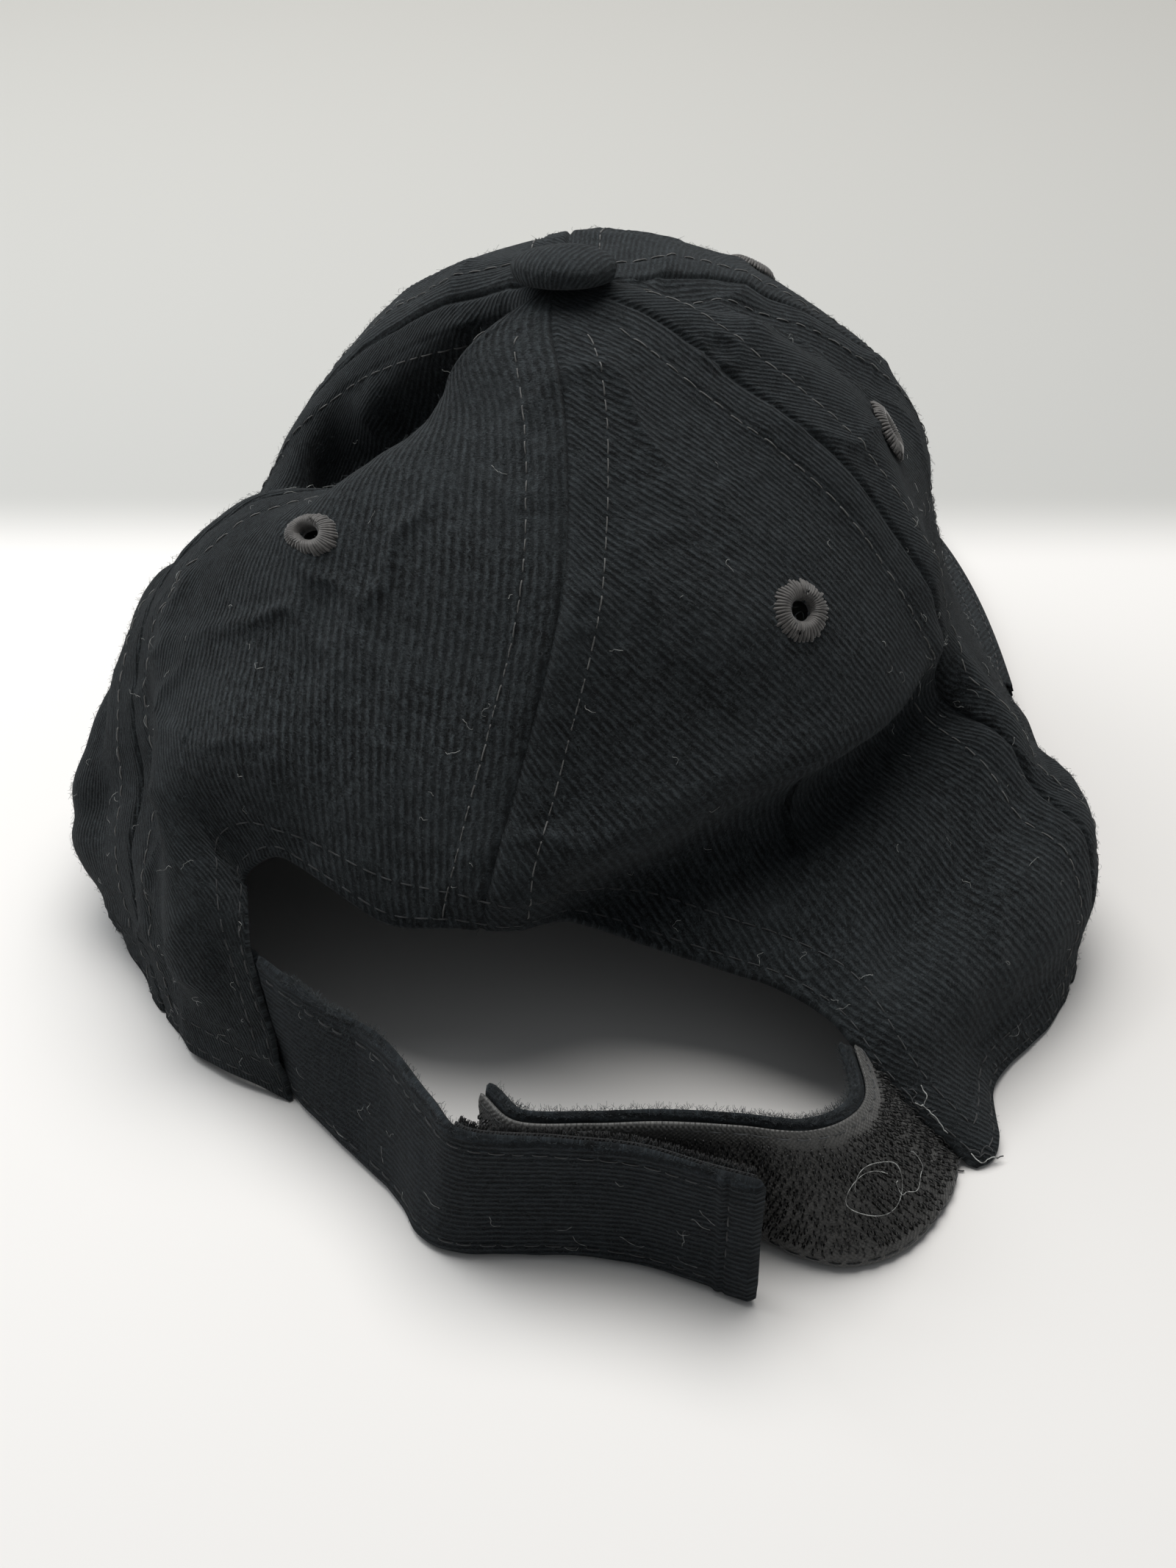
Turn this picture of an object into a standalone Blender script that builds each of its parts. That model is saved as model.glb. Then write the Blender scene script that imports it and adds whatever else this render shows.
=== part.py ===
"""Soft six-panel baseball cap with a hook-and-loop back strap.

The cap stands on its rim with the visor towards +Y and the strap towards -Y.
All shapes are worked out in millimetres in cap coordinates and turned into
metres, around the centre of the footprint, when a mesh is made.

The crown is one curved surface crown(u, s).  u goes round the crown, from the
back seam (0) to the wearer's right side and on, two units to a panel, twelve in
all.  s is the distance down a panel from the top button, in millimetres.
"""
import math

import bpy
import numpy as np
from mathutils import Matrix, Vector

# ---------------------------------------------------------------- dimensions
FOOTPRINT_CENTRE = (-1.2, 53.0)     # cap coordinates of the part's origin
PANEL_LENGTH = 165.0                # button to rim, along a panel
PANEL_COLUMN = 48.0                 # half the width of a panel at the rim
TWILL = 1.0                         # fabric of a panel
SEAM_GAP = 0.4                      # room between two panels
SHARED_ROWS, LOWER_ROWS = 12, 7     # lines of points down a panel, above and below SHARED_DEPTH
SHARED_DEPTH = 96.0
BUTTON_HOLE = 2.6                   # radius of the opening round the button's shank
ARCH_TOP = 108.0                    # where the back opening starts on the back seam
STRAP_TOP = 137.0                   # upper corner of the two tails that hold the strap

TAPE_START = 15.0                   # the tapes stop short of the button
TAPE_WIDTH, TAPE = 12.0, 0.6        # tape that covers a seam on the inside
TAPE_DEPTH = TWILL + 1.3
FACING_DEPTH = TWILL + 1.4          # the facing crosses sharper folds
BAND, BAND_DEPTH = 1.2, 3.6         # sweatband, and its depth under the panel's face
BAND_HEIGHT = 27.0

EYELET_PLACE = 67.0                 # eyelet centre below the button
EYELET_HOLE = 2.0
EYELET_RADIUS = 4.7
PANEL_HOLE = 3.15

BUTTON_RADIUS, BUTTON_HEIGHT = 8.6, 4.4
BUTTON_TILT = math.radians(13)      # the button leans forward
BUTTON_LIFT = 1.6
WASHER_RADIUS = 4.2
COVER = 0.8

VISOR_LENGTH = 68.0
VISOR_HALF_WIDTH = 83.0
VISOR_TOP = 18.1                    # height of the board's middle at the front seam
VISOR_CAMBER = 0.0024               # drop per square millimetre from the middle
VISOR_SLOPE = 0.13                  # drop towards the front
VISOR_BOARD = 1.8
VISOR_FABRIC = 0.8
CLEARANCE = 0.3                     # gap between pieces that lie on each other

LOOP_FABRIC, LOOP_TAPE = 1.7, 1.1
HOOK_FABRIC, HOOK_TAPE = 1.9, 1.3

# ------------------------------------------------------------- crown surface
LEVELS = np.array([0, 12, 32, 56, 82, ARCH_TOP, STRAP_TOP, PANEL_LENGTH])
POLE = np.array([-4.0, 43.5, 107.0])

# The meridians of the slumped crown: the six seams (even) and the middle lines of
# the six panels (odd), each with its points at LEVELS[1:], in cap coordinates.
MERIDIANS = [
    # back seam; it ends at ARCH_TOP, the last two points only lead the surface on
    [(-4, 31, 104), (-3, 14, 94), (-4, -5, 79), (-10, -19, 57),
     (-17, -30, 32), (-20, -36, 4), (-22, -40, -24)],
    # middle of the back right panel, down to the right tail's end
    [(4, 33, 104), (15, 22, 94), (29, 9, 78), (38, -4, 58),
     (38, -13, 38), (43, -41, 18), (63, -52, 0)],
    # right rear seam
    [(8, 39, 104.5), (23, 32, 96.5), (43, 23, 84), (56, 16, 68),
     (62.5, 17, 49), (84.5, 0, 27), (83, -9, 0)],
    # middle of the right side panel
    [(9, 44, 105.5), (28, 42, 101), (44, 39, 90), (56, 38, 70),
     (62, 40, 47), (77, 38, 25), (89, 30, 0)],
    # right front seam
    [(6, 49, 105), (22, 56, 102.5), (38, 58, 95), (55, 62, 78),
     (62, 64, 54), (67, 67, 33), (78, 67, 13)],
    # middle of the front right panel
    [(1, 53, 105.5), (10, 69, 102.5), (24, 84, 93.5), (37, 98, 77),
     (44, 106, 54), (48, 108, 35), (47, 103, 17.7)],
    # front seam
    [(-4, 55, 104.5), (-3, 73, 100.5), (-2, 94, 89.5), (-1, 110, 72),
     (0, 118, 54), (0, 120, 37), (0, 117, 21.2)],
    # middle of the front left panel
    [(-9, 52, 106), (-17, 61, 103), (-27, 80, 91), (-36, 97, 74),
     (-41, 107, 53), (-43, 110, 35), (-42, 106, 18.4)],
    # left front seam
    [(-12, 48, 104), (-26, 53, 98), (-39.5, 62, 86), (-54, 64, 69),
     (-63, 66, 48), (-73, 71, 31), (-77, 71, 13)],
    # middle of the left side panel
    [(-12, 42, 103), (-26, 46, 85), (-43, 49, 72), (-60, 45, 64),
     (-77, 39, 50), (-89, 20, 27), (-86, 30, 0)],
    # left rear seam
    [(-12, 37, 103), (-21, 37, 88), (-37, 36, 74), (-58, 31, 72),
     (-74, 24, 56), (-77, -3, 30), (-75, -16, 0)],
    # middle of the back left panel, down to the left tail's end
    [(-11, 34, 103), (-20, 26, 93), (-37, 19, 81), (-54, 12, 68),
     (-64, -7, 48), (-55, -27, 25), (-49, -37, 0)],
]
AROUND = len(MERIDIANS)

# Places where the slumped cloth is drawn aside: centre (u, s), reach across and down
# in mm, and the shift in mm.
SHIFTS = [
    ((-1.45, 18), (9, 14), (-5, 0, 0)),         # ridge beside the dent
    ((-1.45, 45), (14, 22), (-4, 0, 0)),
    ((-3.65, 90), (12, 14), (3, 0, 0)),         # left side, seen past the shoulder
    ((-2.6, 95), (14, 10), (1.5, 0, -1)),
    ((-3.2, 130), (14, 12), (2.5, 0, 0)),
    ((-2.65, 147), (14, 12), (-3.8, 0, 0)),
    ((-2.0, 165), (20, 12), (3.2, 0, 0)),
    ((1.42, 165), (14, 25), (-10, 2, 0)),       # rim behind the right tail
    ((0.45, 113), (10, 10), (0, 0, -2)),        # edge of the back opening, right half
    ((0.75, 118), (16, 14), (0, -5.5, -2.5)),
    ((0.92, 128), (8, 10), (0, 0, -2.5)),
    ((-0.27, 110), (6, 8), (0, 0, -3.5)),       # edge of the back opening, left half
    ((-0.65, 113), (7, 8), (0, 0, 2.5)),
]

# Hollows pressed into the crown: centre line in (u, s), depth and half width in mm.
HOLLOWS = [
    ([(0.3, 116), (0.7, 110), (1.1, 107), (1.6, 110)], 9, 13),     # under the right eyelet
    ([(1.3, 128), (2.0, 128), (2.6, 130)], 3, 6),                   # crease above the right tail
    ([(3.4, 20), (3.5, 45), (3.5, 68)], 3, 7),                      # crease beside the button
    ([(-2.72, 24), (-2.8, 44)], 10, 12),                            # dent behind the left shoulder
]


def hermite(points, knots, place):
    """Smooth curve through points[k] at knots[k], with finite-difference slopes."""
    k = np.clip(np.searchsorted(knots, place, side="right") - 1, 1, len(knots) - 3)
    x0, x1, x2, x3 = (knots[k + d][..., None] for d in (-1, 0, 1, 2))
    p0, p1, p2, p3 = points(k - 1), points(k), points(k + 1), points(k + 2)
    m1 = ((p2 - p1) / (x2 - x1) * (x1 - x0) + (p1 - p0) / (x1 - x0) * (x2 - x1)) / (x2 - x0)
    m2 = ((p3 - p2) / (x3 - x2) * (x2 - x1) + (p2 - p1) / (x2 - x1) * (x3 - x2)) / (x3 - x1)
    h = x2 - x1
    t = (place[..., None] - x1) / h
    return ((2 * t**3 - 3 * t**2 + 1) * p1 + (t**3 - 2 * t**2 + t) * h * m1
            + (3 * t**2 - 2 * t**3) * p2 + (t**3 - t**2) * h * m2)


def crown_cage():
    """MERIDIANS as an array, led on over the button and past the rim."""
    down = np.array(MERIDIANS, float)
    across = np.roll(down[:, 0], AROUND // 2, axis=0)[:, None]
    top = np.repeat(POLE[None, None], AROUND, axis=0)
    past = (2 * down[:, -1] - down[:, -2])[:, None]
    return np.concatenate([across, top, down, past], axis=1)


CAGE = crown_cage()
KNOTS = np.concatenate([[-LEVELS[1]], LEVELS, [2 * LEVELS[-1] - LEVELS[-2]]]).astype(float)


def column_width(s):
    """Width of one unit of u at the distance s from the button, in mm."""
    return PANEL_COLUMN * np.sin(np.clip(np.asarray(s, float) / PANEL_LENGTH, 0, 1) * math.pi / 2) + 1.0


def around(u):
    """u taken to the nearer side of the back seam, -6 to 6."""
    return np.mod(np.asarray(u, float) + AROUND / 2, AROUND) - AROUND / 2


def shift(u, s):
    """How far SHIFTS draw the crown aside."""
    total = np.zeros(np.broadcast(u, s).shape + (3,))
    for (u0, s0), (wide, long), move in SHIFTS:
        near = (around(u - u0) * column_width(s) / wide)**2 + ((s - s0) / long)**2
        total += np.exp(-near)[..., None] * np.array(move, float)
    return total


def smooth_crown(u, s):
    """The crown without its hollows, at arrays u and s."""
    u, s = np.broadcast_arrays(np.asarray(u, float), np.asarray(s, float))
    first = np.floor(u).astype(int)
    line = [hermite(lambda k, c=first + d: CAGE[c % AROUND, k], KNOTS, s) for d in (-1, 0, 1, 2)]
    t = (u - first)[..., None]
    slope_a, slope_b = (line[2] - line[0]) / 2, (line[3] - line[1]) / 2
    return ((2 * t**3 - 3 * t**2 + 1) * line[1] + (t**3 - 2 * t**2 + t) * slope_a
            + (3 * t**2 - 2 * t**3) * line[2] + (t**3 - t**2) * slope_b + shift(u, s))


def hollow_depth(u, s):
    """How far the hollows press the crown in."""
    depth = np.zeros(np.broadcast(u, s).shape)
    for path, deepest, half_width in HOLLOWS:
        near = np.full(depth.shape, np.inf)
        for (ua, sa), (ub, sb) in zip(path[:-1], path[1:]):
            width = column_width((sa + sb) / 2)
            x, y = around(u - ua) * width, s - sa
            run, fall = (ub - ua) * width, sb - sa
            t = np.clip((x * run + y * fall) / (run**2 + fall**2), 0, 1)
            near = np.minimum(near, np.hypot(x - t * run, y - t * fall))
        depth += deepest * np.exp(-(near / half_width)**2)
    return depth


def face_direction(shape, u, s):
    """Outward unit normal of a surface shape(u, s)."""
    along_u = shape(u + 0.02, s) - shape(u - 0.02, s)
    along_s = shape(u, s + 0.8) - shape(u, s - 0.8)
    normal = np.cross(along_s, along_u)
    return normal / np.maximum(np.linalg.norm(normal, axis=-1, keepdims=True), 1e-9)


def crown_face(u, s):
    """The outer face of the crown, with its hollows."""
    press = hollow_depth(u, s)[..., None]
    return smooth_crown(u, s) - face_direction(smooth_crown, u, s) * press


def crown(u, s, depth=0.0):
    """A point at depth under the crown's outer face."""
    u, s = np.broadcast_arrays(np.asarray(u, float), np.asarray(s, float))
    return crown_face(u, s) - face_direction(crown_face, u, s) * depth


def local_stretch(u, s):
    """Millimetres of crown to one unit of u."""
    step = 0.02
    return np.linalg.norm(crown_face(u + step, s) - crown_face(u - step, s), axis=-1) / (2 * step)


def lower_edge(u):
    """Length of the fabric at u: the rim, or the arch of the back opening."""
    side = np.abs(around(u))
    arch = STRAP_TOP - (STRAP_TOP - ARCH_TOP) * np.sqrt(np.clip(1 - side**2, 0, 1))
    return np.where(side < 1.0, arch, PANEL_LENGTH)


# ------------------------------------------------------------- mesh builders
def metres(points):
    """Cap coordinates in mm to the part's frame in m."""
    shift = np.array([FOOTPRINT_CENTRE[0], FOOTPRINT_CENTRE[1], 0.0])
    return (np.asarray(points, float) - shift) / 1000


def material(name, colour, roughness, metallic=0.0):
    """A Principled BSDF with one plain colour."""
    made = bpy.data.materials.get(name)
    if made is None:
        made = bpy.data.materials.new(name)
        made.use_nodes = True
        shader = made.node_tree.nodes["Principled BSDF"]
        shader.inputs["Base Color"].default_value = (*colour, 1)
        shader.inputs["Roughness"].default_value = roughness
        shader.inputs["Metallic"].default_value = metallic
        made.diffuse_color = (*colour, 1)
    return made


def twill():
    return material("crown_twill", (0.021, 0.026, 0.028), 0.95)


def strap_twill():
    return material("strap_twill", (0.012, 0.015, 0.018), 0.95)


def lining():
    return material("lining_cotton", (0.015, 0.017, 0.018), 0.9)


def thread():
    return material("eyelet_thread", (0.07, 0.065, 0.06), 0.8)


def steel():
    return material("button_steel", (0.42, 0.42, 0.42), 0.4, 1.0)


def board_plastic():
    return material("board_plastic", (0.75, 0.75, 0.72), 0.6)


def hook_plastic():
    return material("hook_tape", (0.05, 0.05, 0.048), 0.55)


def loop_pile():
    return material("loop_tape", (0.012, 0.012, 0.013), 0.95)


def put_mesh(name, points, faces, finish, smooth_angle=50):
    """A named object from points in cap coordinates."""
    mesh = bpy.data.meshes.new(name)
    mesh.from_pydata([tuple(p) for p in metres(points)], [], faces)
    mesh.materials.append(finish)
    mesh.shade_smooth()
    mesh.set_sharp_from_angle(angle=math.radians(smooth_angle))
    piece = bpy.data.objects.new(name, mesh)
    bpy.context.collection.objects.link(piece)
    return piece


def solid_between(name, outer, inner, finish):
    """A closed solid between two grids of points, outer[i, j] over inner[i, j].

    i runs to the right and j runs down, seen from outside.
    """
    rows, columns = outer.shape[:2]
    points = np.concatenate([outer.reshape(-1, 3), inner.reshape(-1, 3)])
    under = rows * columns

    def at(i, j, layer=0):
        return i * columns + j + layer * under

    faces = []
    for i in range(rows - 1):
        for j in range(columns - 1):
            faces.append((at(i, j), at(i, j + 1), at(i + 1, j + 1), at(i + 1, j)))
            faces.append((at(i, j, 1), at(i + 1, j, 1), at(i + 1, j + 1, 1), at(i, j + 1, 1)))
    last = columns - 1
    for i in range(rows - 1):
        faces.append((at(i, 0), at(i + 1, 0), at(i + 1, 0, 1), at(i, 0, 1)))
        faces.append((at(i, last), at(i, last, 1), at(i + 1, last, 1), at(i + 1, last)))
    last = rows - 1
    for j in range(columns - 1):
        faces.append((at(0, j), at(0, j, 1), at(0, j + 1, 1), at(0, j + 1)))
        faces.append((at(last, j), at(last, j + 1), at(last, j + 1, 1), at(last, j, 1)))
    return put_mesh(name, points, faces, finish)


def turned(name, profile, centre, axis, finish, sides=24):
    """A solid of revolution: profile is a closed loop of (radius, height).

    A loop that starts and ends on the axis closes with a fan at each end.
    """
    turn = Vector((0, 0, 1)).rotation_difference(Vector(axis)).to_matrix()
    points, rings = [], []
    for radius, height in profile:
        if radius < 1e-6:
            rings.append([len(points)])
            points.append(Vector((0, 0, height)))
            continue
        rings.append(list(range(len(points), len(points) + sides)))
        for k in range(sides):
            angle = 2 * math.pi * k / sides
            points.append(Vector((radius * math.cos(angle), radius * math.sin(angle), height)))
    faces = []
    closed = len(rings[0]) > 1
    pairs = list(zip(rings, rings[1:] + rings[:1])) if closed else list(zip(rings[:-1], rings[1:]))
    for a, b in pairs:
        for k in range(sides):
            n = (k + 1) % sides
            if len(a) == 1:
                faces.append((a[0], b[n], b[k]))
            elif len(b) == 1:
                faces.append((a[k], a[n], b[0]))
            else:
                faces.append((a[k], a[n], b[n], b[k]))
    placed = [turn @ p + Vector(centre) for p in points]
    return put_mesh(name, np.array([tuple(p) for p in placed]), faces, finish, 35)


# -------------------------------------------------------------- crown panels
PANELS = ["back_right", "side_right", "front_right", "front_left", "side_left", "back_left"]


def panel_columns(panel):
    """Places round the crown where a panel has its lines of points."""
    if panel == "back_right":
        return np.concatenate([np.linspace(0, 0.88, 8), (0.985, 1.015), np.linspace(1.18, 2, 5)])
    if panel == "back_left":
        return 2 - panel_columns("back_right")[::-1]
    return np.linspace(0, 2, 9)


def rows_down(end):
    """Distances of a panel's lines of points from the button, down to end."""
    upper = np.linspace(BUTTON_HOLE, SHARED_DEPTH, SHARED_ROWS)
    return np.concatenate([upper, np.linspace(SHARED_DEPTH, end, LOWER_ROWS + 1)[1:]])


def panel_grid(panel, number, depth):
    """Points of a panel, from its left edge to its right and from the button down."""
    columns = 2 * number + panel_columns(panel)
    s = np.array([rows_down(edge) for edge in lower_edge(columns)])
    u = np.broadcast_to(columns[:, None], s.shape)
    middle = 2 * number + 1
    grid = crown(middle + (u - middle) * (1 - SEAM_GAP / 2 / local_stretch(u, s)), s, depth)
    grid[..., 2] = np.maximum(grid[..., 2], 0.0)
    return grid


def make_panel(panel, number):
    outer, inner = panel_grid(panel, number, 0.0), panel_grid(panel, number, TWILL)
    inner[:, -1, 2] = outer[:, -1, 2]
    piece = solid_between(f"{panel}_panel", outer, inner, twill())
    cut_eyelet_hole(piece, 2 * number + 1)
    return piece


def eyelet_frame(u):
    """Centre and outward direction of the eyelet in the panel whose middle is u."""
    place, spot = np.array([float(u)]), np.array([EYELET_PLACE])
    return crown_face(place, spot)[0], face_direction(crown_face, place, spot)[0]


def cut_eyelet_hole(panel, u):
    centre, axis = eyelet_frame(u)
    profile = [(0, 5), (PANEL_HOLE, 5), (PANEL_HOLE, -5), (0, -5)]
    cutter = turned(f"{panel.name}_hole_cutter", profile[::-1], centre, axis, twill(), 16)
    cutter.hide_render = True
    cutter.display_type = "WIRE"
    hole = panel.modifiers.new("eyelet hole", "BOOLEAN")
    hole.operation = "DIFFERENCE"
    hole.solver = "EXACT"
    hole.object = cutter


def make_eyelet(panel, number):
    """Thread ring that wraps the edge of the hole and follows the panel's curve."""
    u0, sides = 2 * number + 1, 14
    face, back = 0.5, -TWILL - 0.5
    tube = EYELET_HOLE + 0.5
    profile = np.array([
        (EYELET_HOLE, back - 0.5), (EYELET_RADIUS - 0.4, back - 0.5), (EYELET_RADIUS - 0.4, back),
        (tube, back), (tube, face), (EYELET_RADIUS, face), (EYELET_RADIUS - 0.5, face + 0.6),
        (EYELET_HOLE, face + 0.6),
    ])
    stretch = local_stretch(np.array([float(u0)]), np.array([EYELET_PLACE]))[0]
    angle = 2 * math.pi * np.arange(sides)[:, None] / sides
    radius, height = profile[None, :, 0], profile[None, :, 1]
    u = u0 + radius * np.cos(angle) / stretch
    s = EYELET_PLACE + radius * np.sin(angle)
    points = crown(u, s, -height[..., None])
    count = len(profile)
    faces = [
        (k * count + n, k * count + (n + 1) % count,
         (k + 1) % sides * count + (n + 1) % count, (k + 1) % sides * count + n)
        for k in range(sides) for n in range(count)
    ]
    put_mesh(f"{panel}_eyelet", points.reshape(-1, 3), faces, thread(), 35)


# ------------------------------------------------------- tapes and sweatband
def strip_under(name, u_left, u_right, s_lines, depth, thick, finish):
    """A strip that follows the inside of the crown between two edges in u."""
    u = np.stack([u_left, (u_left + u_right) / 2, u_right])
    solid_between(name, crown(u, s_lines[None], depth), crown(u, s_lines[None], depth + thick), finish)


def make_seam_tape(name, u):
    s = rows_down(PANEL_LENGTH)
    s = s[(s > TAPE_START) & (s < (ARCH_TOP - 11 if u == 0 else PANEL_LENGTH))]
    half = TAPE_WIDTH / 2 / column_width(s)
    strip_under(f"{name}_seam_tape", u - half, u + half, s, TAPE_DEPTH, TAPE, lining())


def make_sweatband():
    u = np.linspace(1.36, AROUND - 1.36, 44)
    s = np.linspace(PANEL_LENGTH - BAND_HEIGHT, PANEL_LENGTH - 0.8, 4)
    outer = crown(u[:, None], s[None], BAND_DEPTH)
    inner = crown(u[:, None], s[None], BAND_DEPTH + BAND)
    for grid in (outer, inner):
        grid[..., 2] = np.maximum(grid[..., 2], 0.5)
    solid_between("sweatband", outer, inner, lining())


def make_arch_facing():
    """Tape sewn inside the edge of the back opening."""
    angle = np.radians(np.linspace(-62, 62, 23))
    across = np.linspace(9.0, 0.8, 4)
    reach = PANEL_COLUMN * 0.97
    u = np.sin(angle)[:, None] * (1 + across[None] / reach)
    s = STRAP_TOP - np.cos(angle)[:, None] * (STRAP_TOP - ARCH_TOP + across[None])
    outer, inner = crown(u, s, FACING_DEPTH), crown(u, s, FACING_DEPTH + TAPE)
    solid_between("arch_facing", outer, inner, lining())


# -------------------------------------------------------------------- button
def make_button():
    """Covered button: fabric cover, steel shell with its shank, and inner washer."""
    axis = np.array([0, math.sin(BUTTON_TILT), math.cos(BUTTON_TILT)])
    base = POLE + axis * BUTTON_LIFT
    steps = np.linspace(0, math.pi / 2, 5)
    dome = [(BUTTON_RADIUS * math.cos(a), 1.2 + (BUTTON_HEIGHT - 1.2) * math.sin(a)) for a in steps]
    inside = [(max(r - COVER, 0), h - COVER * math.sin(a)) for (r, h), a in zip(dome, steps)]
    lip = [(BUTTON_RADIUS - 2.6, 0.0), (BUTTON_RADIUS - 0.4, 0.2)]
    pin = 0.05      # the dome closes round a pinhole of no visible size
    outer_loop = lip + dome[:-1] + [(pin, BUTTON_HEIGHT)]
    inner_loop = [(pin, BUTTON_HEIGHT - COVER)] + inside[-2::-1] + [(BUTTON_RADIUS - 2.6, COVER)]
    turned("button_cover", outer_loop + inner_loop, base, axis, twill(), 20)

    shell_top = BUTTON_HEIGHT - COVER - CLEARANCE
    shell_radius = BUTTON_RADIUS - COVER - CLEARANCE
    shank, shank_end = 1.3, -6.8
    core = [(0, shank_end), (shank, shank_end), (shank, COVER + CLEARANCE)]
    core += [(shell_radius - 0.6, COVER + CLEARANCE)]
    core += [(shell_radius * math.cos(a), 1.5 + (shell_top - 1.5) * math.sin(a)) for a in steps[:-1]]
    core += [(0, shell_top)]
    turned("button_shell", core, base, axis, steel(), 20)

    washer_face = -5.4
    washer = [(shank + CLEARANCE, washer_face - 0.8), (WASHER_RADIUS, washer_face - 0.8)]
    washer += [(WASHER_RADIUS, washer_face), (shank + CLEARANCE, washer_face)]
    turned("button_washer", washer, base, axis, steel(), 20)


# --------------------------------------------------------------------- visor
def visor_height(x, y, rise=0.0):
    """Middle of the visor board over the point (x, y)."""
    return VISOR_TOP - VISOR_CAMBER * x**2 - VISOR_SLOPE * (y - 117.0) + rise


def visor_outline(count):
    """Rear edge, along the crown's rim, and front edge, as points (x, y)."""
    u = np.linspace(4.0, 8.0, count)
    rear = crown(u, np.full(count, PANEL_LENGTH), TWILL / 2)[:, :2]
    turn = np.linspace(0, math.pi, count)
    bow = np.abs(np.sin(turn))**0.72
    x = VISOR_HALF_WIDTH * np.sign(np.cos(turn)) * np.abs(np.cos(turn))**0.72
    ends = (rear[0, 1], rear[-1, 1])
    base = np.linspace(ends[0], ends[1], count)
    y = base + (117.0 + VISOR_LENGTH - base) * bow
    front = np.stack([x + (rear[0, 0] + rear[-1, 0]) / 2, y], axis=1)
    return rear, front


def visor_layer(name, low, high, inset, finish, tuck=0.0):
    """One layer of the visor between two heights over the middle of the board.

    inset draws the edges in; tuck bends the front edge towards the middle.
    """
    rear, front = visor_outline(27)
    across = np.concatenate([np.linspace(0, 0.95, 7), (0.98, 1.0)])[None, :, None]
    length = np.linalg.norm(front - rear, axis=1)[:, None, None]
    near, far = inset / np.maximum(length, 2 * inset + 1), 1 - inset / np.maximum(length, 2 * inset + 1)
    plan = rear[:, None] + (front - rear)[:, None] * (near + across * (far - near))
    if inset:
        plan = plan[2:-2]
    x, y = plan[..., 0], plan[..., 1]
    edge = np.broadcast_to(across[..., 0], x.shape)
    bend = tuck * np.clip((edge - 0.955) / 0.045, 0, 1)**2
    top = np.stack([x, y, visor_height(x, y, high) - np.sign(high + low) * bend], axis=-1)
    bottom = np.stack([x, y, visor_height(x, y, low) - np.sign(high + low) * bend], axis=-1)
    solid_between(name, top, bottom, finish)


def make_visor():
    half = VISOR_BOARD / 2
    fabric = half + CLEARANCE
    visor_layer("visor_board", -half, half, 4.0, board_plastic())
    visor_layer("visor_top_cover", fabric, fabric + VISOR_FABRIC, 0.0, twill(), fabric - 0.2)
    visor_layer("visor_under_cover", -fabric - VISOR_FABRIC, -fabric, 0.0, twill(), fabric - 0.2)


# -------------------------------------------------------------------- straps
# Outer face of each strap in plan: lower edge and upper edge, in cap coordinates,
# and the height of the upper edge, all from the crown to the free end.
LOOP_LOW = [(-49.0, -35.4), (-42, -44.5), (-30, -59), (-26, -66.5), (-20, -70),
            (-5, -70.3), (7, -72), (16, -75.5), (24, -79)]
LOOP_HIGH = [(-53.5, -29.5), (-42, -41.0), (-33, -48), (-25, -60.5), (-19, -68.5),
             (-5, -70.3), (7, -72), (16, -75.5), (24.5, -78.5)]
LOOP_TOP = [24.6, 24.8, 25, 25.2, 25.3, 25.3, 25.3, 25.3, 25.3]
HOOK_LOW = [(60.5, -50), (57.5, -59), (52, -67), (46, -71.5), (39, -73.2), (32, -71),
            (25, -67.2), (11, -66.2), (0, -66.6), (-11, -66.4), (-17.5, -62)]
HOOK_HIGH = [(42.5, -41), (43.5, -51), (42, -57.5), (38, -63), (33, -66.2), (28, -67.4),
             (22, -67), (11, -66.2), (0, -66.6), (-11, -66.0), (-16.5, -60)]
HOOK_TOP = [17.5, 18.5, 20, 22, 23.5, 24.8, 25.3, 25.3, 25.3, 25.3, 25.3]
STRAP_FOOT = 0.3
LOOP_ROOT = 0.14                    # place of the loop strap's hinge at the tail, in points of LOOP_LOW
LOOP_FOLD = 3.0                     # place of the loop strap's fold
HOOK_BEND = 5.6                     # place of the hook strap's hinge, in points of HOOK_LOW


def through(points, place):
    """Smooth curve through evenly numbered points, at the numbers in place."""
    given = np.array(points, float)
    if given.ndim == 1:
        given = given[:, None]
    led = np.concatenate([[2 * given[0] - given[1]], given, [2 * given[-1] - given[-2]]])
    knots = np.arange(-1, len(given) + 1, dtype=float)
    return hermite(lambda k: led[k], knots, np.asarray(place, float))


def strap_edges(low, high, top, place):
    """Lower and upper edge of a strap's outer face."""
    lower, upper = through(low, place), through(high, place)
    foot = np.full(len(place), STRAP_FOOT)
    return np.column_stack([lower, foot]), np.column_stack([upper, through(top, place)])


def strap_layer(name, shape, place, face, thick, side, finish, width=1.0):
    """A layer of a strap: face is its depth under the strap's outer face.

    side is +1 or -1, for the side on which the inside of the cap lies.
    """
    lower, upper = strap_edges(*shape, place)
    margin = (1 - width) / 2
    grid = lower[:, None] + (upper - lower)[:, None] * np.linspace(margin, 1 - margin, 3)[None, :, None]
    along = np.gradient(grid, axis=0)
    rise = np.broadcast_to((upper - lower)[:, None], grid.shape)
    inward = np.cross(rise, along) * side
    inward /= np.linalg.norm(inward, axis=-1, keepdims=True)
    inward[..., 2] = 0
    grid_outer = grid + inward * face
    grid_inner = grid + inward * (face + thick)
    if side > 0:
        solid_between(name, grid_outer[:, ::-1], grid_inner[:, ::-1], finish)
    else:
        solid_between(name, grid_outer[::-1, ::-1], grid_inner[::-1, ::-1], finish)


LOOP = (LOOP_LOW, LOOP_HIGH, LOOP_TOP)
HOOK = (HOOK_LOW, HOOK_HIGH, HOOK_TOP)


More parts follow.
